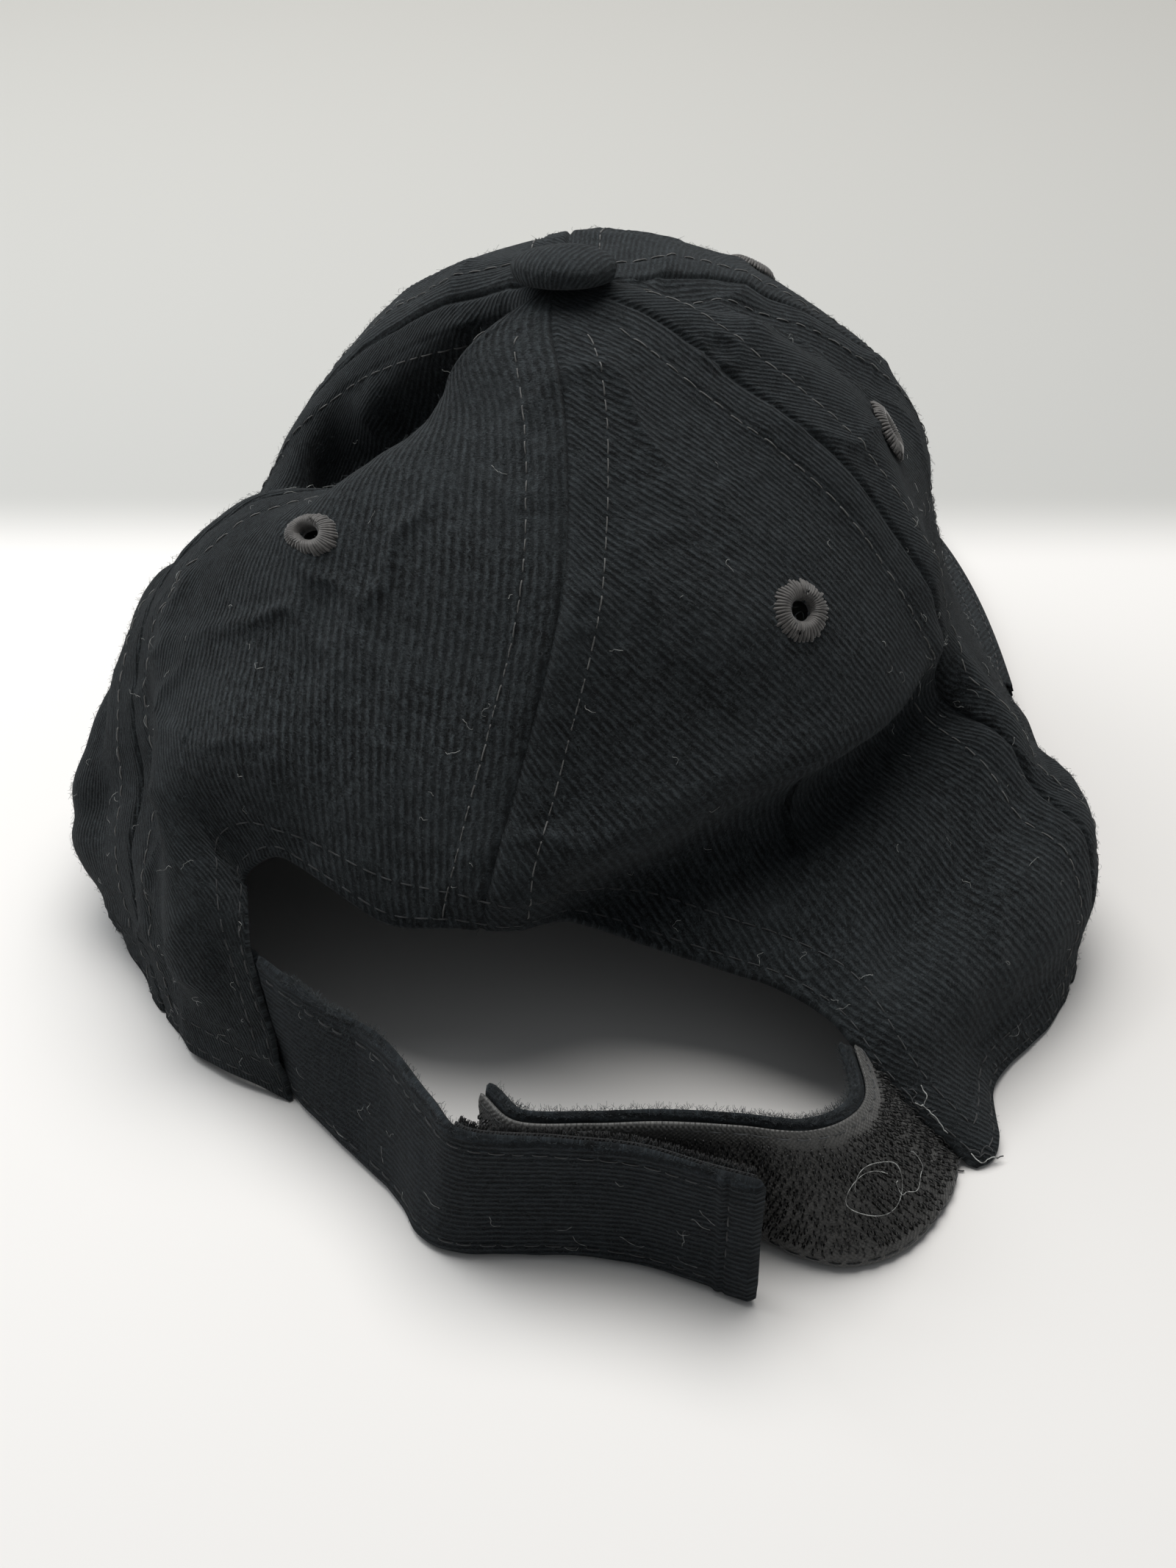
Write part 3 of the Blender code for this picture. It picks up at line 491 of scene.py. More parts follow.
# ------------------------------------------------------------- mesh helpers
def put_mesh(name, points, faces, finish, body="cap", flat=None, slot=None, replaces=()):
    """A smooth piece from points in cap coordinates; flat gives each point's place in the cloth."""
    place = metres(points)
    place[:, 2] = np.maximum(place[:, 2], 0.00002)              # nothing goes under the table
    mesh = bpy.data.meshes.new(name)
    mesh.from_pydata(place.tolist(), [], faces)
    mesh.materials.append(finish)
    mesh.shade_smooth()
    if flat is not None:
        layer = mesh.uv_layers.new(name="cloth")
        corner = np.empty(len(mesh.loops), np.int32)
        mesh.loops.foreach_get("vertex_index", corner)
        layer.data.foreach_set("uv", (np.asarray(flat, float)[corner] / 100).astype(np.float32).ravel())
    piece = bpy.data.objects.new(name, mesh)
    bpy.context.scene.collection.objects.link(piece)
    if body:
        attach(piece, body)
    if replaces:
        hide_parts(*replaces)
    return piece


def grid_faces(rows, columns, kept=None):
    """Quads of a grid of points, index i * columns + j; kept(i, j) may leave some out."""
    i, j = np.meshgrid(np.arange(rows - 1), np.arange(columns - 1), indexing="ij")
    i, j = i.ravel(), j.ravel()
    if kept is not None:
        keep = kept(i, j)
        i, j = i[keep], j[keep]
    at = i * columns + j
    return np.stack([at, at + columns, at + columns + 1, at + 1], axis=1)


def thick_sheet(name, outer, inner, quads, flat, finish, **put):
    """A closed sheet between two faces of points, with a rounded edge."""
    used = np.unique(quads)
    index = np.full(len(outer), -1)
    index[used] = np.arange(len(used))
    quads, outer, inner, flat = index[quads], outer[used], inner[used], flat[used]
    a, b, c, d = (outer[quads[:, k]] for k in range(4))
    facing = (np.cross(c - a, d - b) * (outer - inner)[quads[:, 0]]).sum()
    if facing < 0:
        quads = quads[:, ::-1]
    count = len(outer)
    starts, ends = quads.ravel(), np.roll(quads, -1, axis=1).ravel()
    forward = set(zip(starts.tolist(), ends.tolist()))
    border = [(p, q) for p, q in forward if (q, p) not in forward]
    border.sort()
    middle = (outer + inner) / 2
    thick = outer - inner
    push = np.zeros_like(outer)
    for p, q in border:
        out = np.cross(middle[q] - middle[p], thick[p])
        out /= max(np.linalg.norm(out), 1e-9)
        push[p] += out
        push[q] += out
    push /= np.maximum(np.linalg.norm(push, axis=1, keepdims=True), 1e-9)
    edge = sorted({p for pair in border for p in pair})
    order = {p: 2 * count + k for k, p in enumerate(edge)}
    rim = middle[edge] + push[edge] * 0.45 * np.linalg.norm(thick[edge], axis=1, keepdims=True)
    points = np.concatenate([outer, inner, rim])
    faces = quads.tolist() + (quads[:, ::-1] + count).tolist()
    for p, q in border:
        faces.append((q, p, order[p], order[q]))
        faces.append((order[q], order[p], p + count, q + count))
    return put_mesh(name, points, faces, finish, flat=np.concatenate([flat, flat, flat[edge]]), **put)


def tubes(name, paths, radius, finish, sides=4, **put):
    """One piece of many thin closed tubes along paths[n, k]."""
    paths = np.asarray(paths, float)
    count, length = paths.shape[:2]
    radius = np.broadcast_to(np.asarray(radius, float).reshape(-1, 1) if np.ndim(radius) == 1 else radius,
                             (count, length))
    along = np.gradient(paths, axis=1)
    along /= np.maximum(np.linalg.norm(along, axis=-1, keepdims=True), 1e-9)
    side = np.cross(along, np.array([0.32, 0.54, 0.78]))
    side /= np.maximum(np.linalg.norm(side, axis=-1, keepdims=True), 1e-9)
    up = np.cross(along, side)
    angle = 2 * math.pi * np.arange(sides) / sides
    ring = (np.cos(angle)[:, None] * side[:, :, None] + np.sin(angle)[:, None] * up[:, :, None])
    points = paths[:, :, None] + ring * radius[:, :, None, None]
    start = (np.arange(count) * length * sides)[:, None, None]
    k, n = np.arange(length - 1)[None, :, None] * sides, np.arange(sides)[None, None, :]
    after = (n + 1) % sides
    quads = np.stack([start + k + n, start + k + after, start + k + sides + after, start + k + sides + n], axis=-1)
    first = start[:, 0, 0][:, None] + np.arange(sides)[::-1][None]
    last = start[:, 0, 0][:, None] + (length - 1) * sides + np.arange(sides)[None]
    faces = quads.reshape(-1, 4).tolist() + first.tolist() + last.tolist()
    return put_mesh(name, points.reshape(-1, 3), faces, finish, **put)


def stitches(points, normals, pitch=3.3, length=2.5, lift=0.2, start=0.4):
    """Paths of the stitches along a line on the cloth."""
    run = np.concatenate([[0], np.cumsum(np.linalg.norm(np.diff(points, axis=0), axis=1))])
    first = np.arange(start, run[-1] - length, pitch)
    share = np.array([0.0, 0.14, 0.5, 0.86, 1.0])
    height = np.array([-0.3, 0.6, 1.0, 0.6, -0.3]) * lift
    reach = length * rng.uniform(0.72, 1.08, len(first))
    place = first[:, None] + rng.uniform(-0.2, 0.2, len(first))[:, None] + share[None] * reach[:, None]
    path = np.stack([np.interp(place, run, points[:, a]) for a in range(3)], axis=-1)
    out = np.stack([np.interp(place, run, normals[:, a]) for a in range(3)], axis=-1)
    return path + out * height[None, :, None]


# ------------------------------------------------------------- crown pieces
PANELS = ["back_right", "side_right", "front_right", "front_left", "side_left", "back_left"]


def seam_columns():
    """Places across a panel, 0 to 2, closer together beside the seams."""
    half = np.concatenate([[0, 0.006, 0.014, 0.026, 0.045, 0.07], np.linspace(0.095, 0.24, 9), np.linspace(0.265, 1, 34)])
    return np.concatenate([half, 2 - half[-2::-1]])


def make_panel(panel, number, finish):
    columns = seam_columns()
    upper = np.concatenate([BUTTON_HOLE + np.array([-1.0, 0, 1.2, 2.8]), np.linspace(7, STRAP_TOP, 118)])
    lower = np.linspace(STRAP_TOP, PANEL_LENGTH, 26)[1:]
    if panel in ("back_right", "back_left"):
        side = np.abs(around(columns + 2 * number))
        arch = STRAP_TOP - (STRAP_TOP - ARCH_TOP) * np.sqrt(np.clip(1 - side**2, 0, 1))
        top = upper[None] + (arch[:, None] - STRAP_TOP) * smooth_step(upper, 60, STRAP_TOP)[None]
        keep_from = side >= 1 - 1e-9
    else:
        top = np.repeat(upper[None], len(columns), axis=0)
        keep_from = np.ones(len(columns), bool)
    s = np.concatenate([top, np.repeat(lower[None], len(columns), axis=0)], axis=1)
    u = 2 * number + np.broadcast_to(columns[:, None], s.shape)
    middle = 2 * number + 1
    moved = middle + (u - middle) * 0.9985
    outer = cloth(moved, s)
    thick = TWILL + 0.35 * (1 - smooth_step(hem_distance(u, s), HEM, HEM + 1.5))
    inner = outer - face_direction(crown_face, moved, s) * thick[..., None]
    for face in (outer, inner):
        face[..., 2] = np.maximum(face[..., 2], 0.05)
    flat = np.stack([(u - middle) * column_width(s) + 300 * number, s], axis=-1)
    hole = np.hypot((u - middle) * local_stretch(u, s), s - EYELET_PLACE) < EYELET_HOLE + 0.9

    def kept(i, j):
        whole = ~(hole[i, j] & hole[i + 1, j] & hole[i, j + 1] & hole[i + 1, j + 1])
        return whole & ((j + 1 < len(upper)) | (keep_from[i] & keep_from[i + 1]))

    piece = thick_sheet(
        f"{panel}_panel_cloth", outer.reshape(-1, 3), inner.reshape(-1, 3),
        grid_faces(*s.shape, kept), flat.reshape(-1, 2), finish,
        slot="crown_twill", replaces=[f"{panel}_panel"])
    area = GORE_SHARE * 2 * PANEL_COLUMN * PANEL_LENGTH / 1e6
    if panel.startswith("back"):
        area -= math.pi / 4 * PANEL_COLUMN * (STRAP_TOP - ARCH_TOP) / 1e6 + PANEL_COLUMN * 28 / 1e6


def make_eyelet(panel, number, finish):
    """Embroidered eyelet: threads wrapped radially over the edge of the hole."""
    count, u0 = 46, 2 * number + 1
    stretch = local_stretch(np.array([float(u0)]), np.array([EYELET_PLACE]))[0]
    angle = 2 * math.pi * (np.arange(count) + rng.uniform(-0.16, 0.16, count)) / count
    radius = np.tile([4.75, 4.6, 4.1, 3.3, 2.5, 2.05, 1.95, 2.3, 3.4, 4.3], (count, 1))
    radius[:, :2] += rng.uniform(-0.3, 0.35, (count, 1))
    height = np.array([-0.25, 0.15, 0.6, 0.95, 0.8, 0.2, -0.9, -1.7, -1.75, -1.45])
    turn = angle[:, None] + np.linspace(-0.03, 0.05, radius.shape[1])[None]
    u = u0 + radius * np.cos(turn) / stretch
    s = EYELET_PLACE + radius * np.sin(turn)
    lift = relief(np.full(u.shape, float(u0)), np.full(u.shape, EYELET_PLACE)) + height
    path = crown_face(u, s) + face_direction(crown_face, u, s) * lift[..., None]
    tubes(f"{panel}_eyelet_thread", path, 0.29, finish, 5, slot="eyelet_thread", replaces=[f"{panel}_eyelet"])


def grid_size(points):
    """Mean lengths of a grid of points along its two directions."""
    rows = np.linalg.norm(np.diff(points, axis=0), axis=-1).sum(axis=0).mean()
    columns = np.linalg.norm(np.diff(points, axis=1), axis=-1).sum(axis=1).mean()
    return rows, columns


def lining(name, u, s, depth, thick, finish, wave=0.15, **put):
    """A strip sewn to the inside of the crown; u and s are grids, across and down."""
    u, s = np.broadcast_arrays(u, s)
    base, out = crown_face(u, s), face_direction(crown_face, u, s)
    lift = wave * noise(base, 9, 21)[..., None]
    outer, inner = base - out * (depth - lift), base - out * (depth + thick - lift)
    for face in (outer, inner):
        face[..., 2] = np.maximum(face[..., 2], 0.4)
    across, down = np.linspace(0, 1, u.shape[0])[:, None], np.linspace(0, 1, u.shape[1])[None]
    size = grid_size(inner)
    flat = np.stack(np.broadcast_arrays(across * size[0], down * size[1]), axis=-1)
    piece = thick_sheet(name, outer.reshape(-1, 3), inner.reshape(-1, 3), grid_faces(*u.shape),
                        flat.reshape(-1, 2), finish, slot="lining_cotton", **put)


def make_linings(finish):
    """Tapes over the seams, the facing of the back opening and the sweatband."""
    seams = ["back", "right_rear", "right_front", "front", "left_front", "left_rear"]
    for number, seam in enumerate(seams):
        end = ARCH_TOP - 11 if number == 0 else PANEL_LENGTH
        s = np.linspace(16, end, 90)
        half = TAPE_WIDTH / 2 / column_width(s)
        u = 2 * number + half[None] * np.linspace(-1, 1, 7)[:, None]
        lining(f"{seam}_seam_binding", u, s[None], 2.3, 0.6, finish,
               replaces=[f"{seam}_seam_tape"])
    angle = np.radians(np.linspace(-62, 62, 90))[:, None]
    across = np.linspace(9.0, 0.8, 8)[None]
    u = np.sin(angle) * (1 + across / (PANEL_COLUMN * 0.97))
    s = STRAP_TOP - np.cos(angle) * (STRAP_TOP - ARCH_TOP + across)
    lining("arch_facing_cloth", u, s, 2.4, 0.6, finish, replaces=["arch_facing"])
    u = np.linspace(1.36, AROUND - 1.36, 300)[:, None]
    s = np.linspace(138.0, 164.2, 14)[None]
    lining("sweatband_cloth", u, s, 3.6, 1.2, finish, wave=0.35, replaces=["sweatband"])


def along_seam(number, side, start, end):
    """A line on the cloth beside a seam, with its normals."""
    s = np.linspace(start, end, 160)
    u = np.full(s.shape, 2.0 * number)
    offset = np.minimum(STITCH_SIDE, 0.8 * column_width(s)) / local_stretch(u, s)
    u = u + side * offset
    return cloth(u, s), face_direction(crown_face, u, s)


def hem_line(distance):
    """A line on the cloth at a distance from the free edge, from the front seam round the back."""
    step = distance / PANEL_COLUMN
    angle = np.linspace(-math.pi / 2, math.pi / 2, 120)
    arch_u = np.sin(angle) * (1 + step)
    arch_s = STRAP_TOP - np.cos(angle) * (STRAP_TOP - ARCH_TOP + distance)
    end = np.linspace(STRAP_TOP, PANEL_LENGTH - distance, 30)[1:]
    rim = np.linspace(1 + step, 4.0, 120)[1:]
    right_u = np.concatenate([np.full(len(end), 1 + step), rim])
    right_s = np.concatenate([end, np.full(len(rim), PANEL_LENGTH - distance)])
    u = np.concatenate([-right_u[::-1], arch_u, right_u])
    s = np.concatenate([right_s[::-1], arch_s, right_s])
    return cloth(u, s), face_direction(crown_face, u, s)


def make_seam_stitches(finish, dark):
    paths = []
    for number in range(6):
        end = ARCH_TOP - 1.0 if number == 0 else PANEL_LENGTH - 1.5
        for side in (-1, 1):
            paths.append(stitches(*along_seam(number, side, 12, end)))
    tubes("crown_topstitching", np.concatenate(paths), 0.12, finish, 4, slot="eyelet_thread")
    paths = [stitches(*hem_line(distance), start=start) for distance, start in ((1.3, 0.4), (5.4, 1.7))]
    tubes("hem_topstitching", np.concatenate(paths), 0.12, dark, 4, slot="crown_twill")


# ------------------------------------------------------------- button and visor
def make_button(finish):
    """Dome of twill gathered round a steel shell, open underneath round the shank."""
    axis = np.array([0, math.sin(BUTTON_TILT), math.cos(BUTTON_TILT)])
    side = np.array([1.0, 0, 0])
    front = np.cross(axis, side)
    rise = np.linspace(math.pi / 2, 0, 22)[1:]
    out = [(BUTTON_RADIUS * math.cos(a), 1.3 + (BUTTON_HEIGHT - 1.3) * math.sin(a)) for a in rise]
    out += [(BUTTON_RADIUS, 0.4), (BUTTON_RADIUS - 0.4, -0.7), (BUTTON_RADIUS - 1.3, -1.1),
            (BUTTON_RADIUS - 3.0, -0.3), (3.4, 0.2)]
    inside = [(3.5, 0.8), (BUTTON_RADIUS - 1.2, 0.85), (BUTTON_RADIUS - 0.9, 1.3)]
    inside += [((BUTTON_RADIUS - 0.9) * math.cos(a), 1.4 + (BUTTON_HEIGHT - 2.2) * math.sin(a))
               for a in np.linspace(0, math.pi / 2, 7)[1:-1]]
    profile = np.array(out + inside)
    sides = 96
    turn = 2 * math.pi * np.arange(sides) / sides
    radius = np.repeat(profile[:, :1], sides, axis=1)
    height = np.repeat(profile[:, 1:], sides, axis=1)
    edge = np.clip(1 - np.abs(profile[:, 1] - 0.9) / 1.6, 0, 1)[:, None] * (profile[:, 0] > 5)[:, None]
    pucker = np.sin(17 * turn + 1.2 * np.sin(3 * turn))[None]
    radius = radius + 0.16 * edge * pucker
    height = height + 0.12 * np.sin(2 * turn)[None] * (profile[:, 1] > 1.3)[:, None]
    base = POLE + axis * BUTTON_LIFT
    ring = radius[..., None] * (np.cos(turn)[None, :, None] * side + np.sin(turn)[None, :, None] * front)
    points = (base + ring + height[..., None] * axis).reshape(-1, 3)
    faces = []
    for row in range(len(profile) - 1):
        for k in range(sides):
            n = (k + 1) % sides
            faces.append((row * sides + k, (row + 1) * sides + k, (row + 1) * sides + n, row * sides + n))
    last = (len(profile) - 1) * sides
    top, inner = len(points), len(points) + 1
    points = np.concatenate([points, [base + axis * BUTTON_HEIGHT, base + axis * (BUTTON_HEIGHT - 0.8)]])
    for k in range(sides):
        n = (k + 1) % sides
        faces.append((top, k, n))
        faces.append((inner, last + n, last + k))
    run = np.concatenate([[0], np.cumsum(np.hypot(*np.diff(profile, axis=0).T))]) + profile[0, 0]
    flat = run[:, None, None] * np.stack([np.cos(turn), np.sin(turn)], axis=-1)[None]
    flat = np.concatenate([flat.reshape(-1, 2), [(0, 0), (0, 0)]])
    piece = put_mesh("button_cloth", points, faces, finish, flat=flat, slot="crown_twill",
                     replaces=["button_cover"])


def visor_height(x, y, rise=0.0):
    """Middle of the visor board over the point (x, y), as the CAD has it."""
    return VISOR_TOP - VISOR_CAMBER * x**2 - VISOR_SLOPE * (y - 117.0) + rise


def visor_plan(count, across):
    """Points (x, y) of the visor from its rear edge, along the crown, to its front edge."""
    u = np.linspace(4.0, 8.0, count)
    s = np.full(count, PANEL_LENGTH)
    rear = (crown_face(u, s) - face_direction(crown_face, u, s) * TWILL / 2)[:, :2]
    turn = np.linspace(0, math.pi, count)
    bow = np.abs(np.sin(turn))**0.72
    x = VISOR_HALF_WIDTH * np.sign(np.cos(turn)) * np.abs(np.cos(turn))**0.72
    base = np.linspace(rear[0, 1], rear[-1, 1], count)
    front = np.stack([x + (rear[0, 0] + rear[-1, 0]) / 2, base + (117.0 + VISOR_LENGTH - base) * bow], axis=1)
    length = np.linalg.norm(front - rear, axis=1)[:, None]
    return rear[:, None] + (front - rear)[:, None] * across[None, :, None], length * (1 - across[None])


def visor_cover(side, finish, thread):
    """Twill on one side of the board: side is 1 on top and -1 underneath."""
    name = "visor_top_cover" if side > 0 else "visor_under_cover"
    half = VISOR_BOARD / 2 + 0.3
    rolled = 0.955 + 0.045 * np.sin(np.linspace(0, math.pi / 2, 9)[1:])
    across = np.concatenate([np.linspace(0, 0.955, 90), rolled])
    plan, from_edge = visor_plan(190, across)
    x, y = plan[..., 0], plan[..., 1]
    tuck = np.clip((across - 0.955) / 0.045, 0, 1)[None]
    bend = (half - 0.15) * (1 - np.sqrt(np.clip(1 - tuck**2, 0, 1)))
    place = np.stack([x, y, np.zeros_like(x)], axis=-1)
    soft = 0.12 * noise(place + 60 * side, 14, 31)
    for row in range(VISOR_ROWS):
        soft = soft - 0.28 * np.exp(-((from_edge - 3.2 - 6.6 * row) / 0.6)**2)
    fade = 1 - tuck
    outer = np.stack([x, y, visor_height(x, y) + side * (half + 0.8 - bend + soft * fade)], axis=-1)
    inner = np.stack([x, y, visor_height(x, y) + side * (half - bend)], axis=-1)
    flat = np.stack([x, y + 400 * (side < 0)], axis=-1)
    piece = thick_sheet(f"{name}_cloth", outer.reshape(-1, 3), inner.reshape(-1, 3), grid_faces(*x.shape),
                        flat.reshape(-1, 2), finish, slot="crown_twill", replaces=[name])
    paths = []
    for row in range(VISOR_ROWS):
        distance = 3.2 + 6.6 * row
        line = [
            [np.interp(-distance, -from_edge[k], plan[k, :, a]) for a in (0, 1)]
            for k in range(len(plan)) if from_edge[k, 0] > distance + 2
        ]
        line = np.array(line)
        height = visor_height(line[:, 0], line[:, 1]) + side * (half + 0.62)
        points = np.column_stack([line, height])
        paths.append(stitches(points, np.tile([0, 0, float(side)], (len(points), 1)), start=0.4 + 0.7 * row))
    tubes(f"{name}_stitches", np.concatenate(paths), 0.14, thread, 4, slot="crown_twill")


# ------------------------------------------------------------- straps
LOOP_LOW = [(-49.0, -35.4), (-42, -44.5), (-30, -59), (-26, -66.5), (-20, -70),
            (-5, -70.3), (7, -72), (16, -75.5), (24, -79)]
LOOP_HIGH = [(-53.5, -29.5), (-42, -41.0), (-33, -48), (-25, -60.5), (-19, -68.5),
             (-5, -70.3), (7, -72), (16, -75.5), (24.5, -78.5)]
LOOP_TOP = [24.6, 24.8, 25, 25.2, 25.3, 25.3, 25.3, 25.3, 25.3]
HOOK_LOW = [(60.5, -50), (57.5, -59), (52, -67), (46, -71.5), (39, -73.2), (32, -71),
            (25, -67.2), (11, -66.2), (0, -66.6), (-11, -66.4), (-17.5, -62)]
HOOK_HIGH = [(42.5, -41), (43.5, -51), (42, -57.5), (38, -63), (33, -66.2), (28, -67.4),
             (22, -67), (11, -66.2), (0, -66.6), (-11, -66.0), (-16.5, -60)]
HOOK_TOP = [17.5, 18.5, 20, 22, 23.5, 24.8, 25.3, 25.3, 25.3, 25.3, 25.3]
LOOP, HOOK = (LOOP_LOW, LOOP_HIGH, LOOP_TOP), (HOOK_LOW, HOOK_HIGH, HOOK_TOP)
STRAP_FOOT = 0.3
LOOP_ROOT, LOOP_MIDDLE, LOOP_FOLD, HOOK_BEND = 0.14, 1.6, 3.0, 5.6     # hinges, in points of a list
LOOP_FABRIC, LOOP_TAPE, HOOK_FABRIC, HOOK_TAPE = 1.7, 1.1, 1.9, 1.3
STRAP_WIDTH = 25.0


def through(points, place):
    """Smooth curve through evenly numbered points, at the numbers in place."""
    given = np.array(points, float)
    if given.ndim == 1:
        given = given[:, None]
    led = np.concatenate([[2 * given[0] - given[1]], given, [2 * given[-1] - given[-2]]])
    knots = np.arange(-1, len(given) + 1, dtype=float)
    return hermite(lambda k: led[k], knots, np.asarray(place, float))


def strap_face(shape, side, place, across):
    """Points on a strap's outer face, and the direction to the inside of the cap.

    place runs along the strap and across goes from 0 at its lower edge to 1.
    """
    place, across = np.broadcast_arrays(np.asarray(place, float), np.asarray(across, float))

    def edge(low_or_high, height):
        plan = through(low_or_high, place.ravel())
        return np.column_stack([plan, height]).reshape(*place.shape, 3)

    lower = edge(shape[0], np.full(place.size, STRAP_FOOT))
    upper = edge(shape[1], through(shape[2], place.ravel()))
    step = 0.02
    ahead = through(shape[0], place.ravel() + step) - through(shape[0], place.ravel() - step)
    ahead_high = through(shape[1], place.ravel() + step) - through(shape[1], place.ravel() - step)
    share = across.reshape(-1, 1)
    along = np.column_stack([ahead * (1 - share) + ahead_high * share, np.zeros(place.size)])
    inward = np.cross(upper - lower, along.reshape(*place.shape, 3)) * side
    inward[..., 2] = 0
    inward /= np.maximum(np.linalg.norm(inward, axis=-1, keepdims=True), 1e-9)
    return lower + (upper - lower) * across[..., None], inward


def run_along(shape, place):
    """Millimetres along a strap at each place."""
    line = (through(shape[0], place) + through(shape[1], place)) / 2
    return np.concatenate([[0], np.cumsum(np.linalg.norm(np.diff(line, axis=0), axis=1))])


def strap_piece(name, shape, side, place, face, thick, finish, relief_of=None, margin=0.0, edge=0.9, **put):
    """One layer of a strap with soft edges, its depth under the strap's outer face being face."""
    across = 0.5 - 0.5 * np.cos(np.linspace(0, math.pi, 27))
    across = 0.35 * across + 0.65 * np.linspace(0, 1, 27)
    width = margin + (1 - 2 * margin) * across
    points, inward = strap_face(shape, side, place[:, None], width[None])
    run = run_along(shape, place)
    from_edge = np.minimum(across, 1 - across)[None] * STRAP_WIDTH
    round_off = np.sqrt(np.clip(1 - np.clip(1 - from_edge / edge, 0, 1)**2, 0, 1))
    half = thick / 2 * (0.35 + 0.65 * round_off)
    lift = 0.22 * noise(points, 8, 41) + 0.12 * noise(points, 3.5, 42)
    if relief_of is not None:
        lift = lift + relief_of(run[:, None], across[None] * STRAP_WIDTH)
    middle = points + inward * (face + thick / 2)
    outer = middle - inward * (half + lift)[..., None]
    inner = middle + inward * half[..., None]
    for grid in (outer, inner):
        grid[..., 2] = np.maximum(grid[..., 2], STRAP_FOOT / 2)
    flat = np.stack(np.broadcast_arrays(run[:, None], across[None] * STRAP_WIDTH), axis=-1)
    return thick_sheet(name, outer.reshape(-1, 3), inner.reshape(-1, 3), grid_faces(*points.shape[:2]),
                       flat.reshape(-1, 2), finish, **put), run[-1]


def hinge_span(shape, side, place, reach):
    """Two points in the frame, reach mm before and after a hinge."""
    at = np.array([place - 0.05, place, place + 0.05])
    points, _ = strap_face(shape, side, at, 0.5)
    along = points[2] - points[0]
    along /= np.linalg.norm(along)
    return metres(points[1] - along * reach), metres(points[1] + along * reach)


def bend(piece, joint):
    """Bake a finished piece's transform; the span of its strap's hinge is worked out but not used, so the piece is
    not made to bend.
    """
    a, b, shape, side, place, reach = HINGES[joint]
    start, end = hinge_span(shape, side, place, reach)
    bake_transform(piece)


HINGES = {
    "loop_root": ("cap", "loop_strap", LOOP, 1, LOOP_ROOT + 0.2, 3.0),
    "loop_fold": ("loop_strap", "loop_flap", LOOP, 1, LOOP_FOLD, 3.0),
    "hook_bend": ("cap", "hook_flap", HOOK, -1, HOOK_BEND, 6.0),
}


def on_strap(shape, side, place, across, depth):
    """Points at a depth under a strap's outer face."""
    points, inward = strap_face(shape, side, place, across)
    return points + inward * np.asarray(depth, float)[..., None]


def strap_stitches(shape, side, place, across, depth):
    """Stitches along a line on a strap."""
    points, inward = strap_face(shape, side, place, across)
    return stitches(points + inward * depth, -inward * math.copysign(1, 0.5 - depth))


def folded_edge(run, height):
    """Relief of a strap's outer face: turned edges with a stitched row in each."""
    near = np.minimum(height, STRAP_WIDTH - height)
    lift = 0.18 * (1 - smooth_step(near, 4.6, 5.6)) - 0.2 * np.exp(-((near - 2.6) / 0.5)**2)
    return lift + 0 * run


def turned_end(run, height):
    """Relief at the free end of the loop strap, which is turned back and stitched down."""
    to_end = run.max() - run
    lift = 0.5 * (1 - smooth_step(to_end, 5.0, 6.2)) - 0.35 * np.exp(-((to_end - 4.2) / 0.45)**2)
    return lift + folded_edge(run, height) + 0.25 * np.sin(height / 3.1 + 0.5) * np.exp(-to_end / 9)


def make_loop_strap(cloth_finish, pile_finish, thread):
    sharp = 0.02
    base = np.linspace(sharp, LOOP_MIDDLE, 60)
    piece, length = strap_piece("loop_strap_upper_cloth", LOOP, 1, base, 0.0, LOOP_FABRIC, cloth_finish,
                                folded_edge, slot="strap_twill", body=None, replaces=["loop_strap_base"])
    bend(piece, "loop_root")
    last = len(LOOP_LOW) - 1.0
    end = np.linspace(LOOP_MIDDLE, last, 200)
    piece, length = strap_piece("loop_strap_end_cloth", LOOP, 1, end, 0.0, LOOP_FABRIC, cloth_finish,
                                turned_end, slot="strap_twill", body=None, replaces=["loop_strap_end"])
    bend(piece, "loop_fold")
    pile = np.linspace(LOOP_FOLD + 0.7, last - 0.1, 120)
    piece, length = strap_piece("loop_tape_cloth", LOOP, 1, pile, LOOP_FABRIC + 0.3, LOOP_TAPE - 0.3,
                                pile_finish, margin=0.03, edge=0.5, slot="loop_tape", body="loop_flap",
                                replaces=["loop_tape"])
    for name, first, final, joint in (("upper", 0.1, LOOP_MIDDLE, "loop_root"),
                                      ("end", LOOP_MIDDLE, last, "loop_fold")):
        place = np.linspace(first, final, 200)
        rows = [strap_stitches(LOOP, 1, place, share, -0.08) for share in (0.105, 0.895)]
        if name == "end":
            share = np.linspace(0.06, 0.94, 60)
            rows.append(strap_stitches(LOOP, 1, np.full(60, last - 0.45), share, -0.15))
        piece = tubes(f"loop_strap_{name}_stitches", np.concatenate(rows), 0.13, thread, 4,
                      slot="strap_twill", body=None)
        bend(piece, joint)
    make_pile(pile_finish, last)


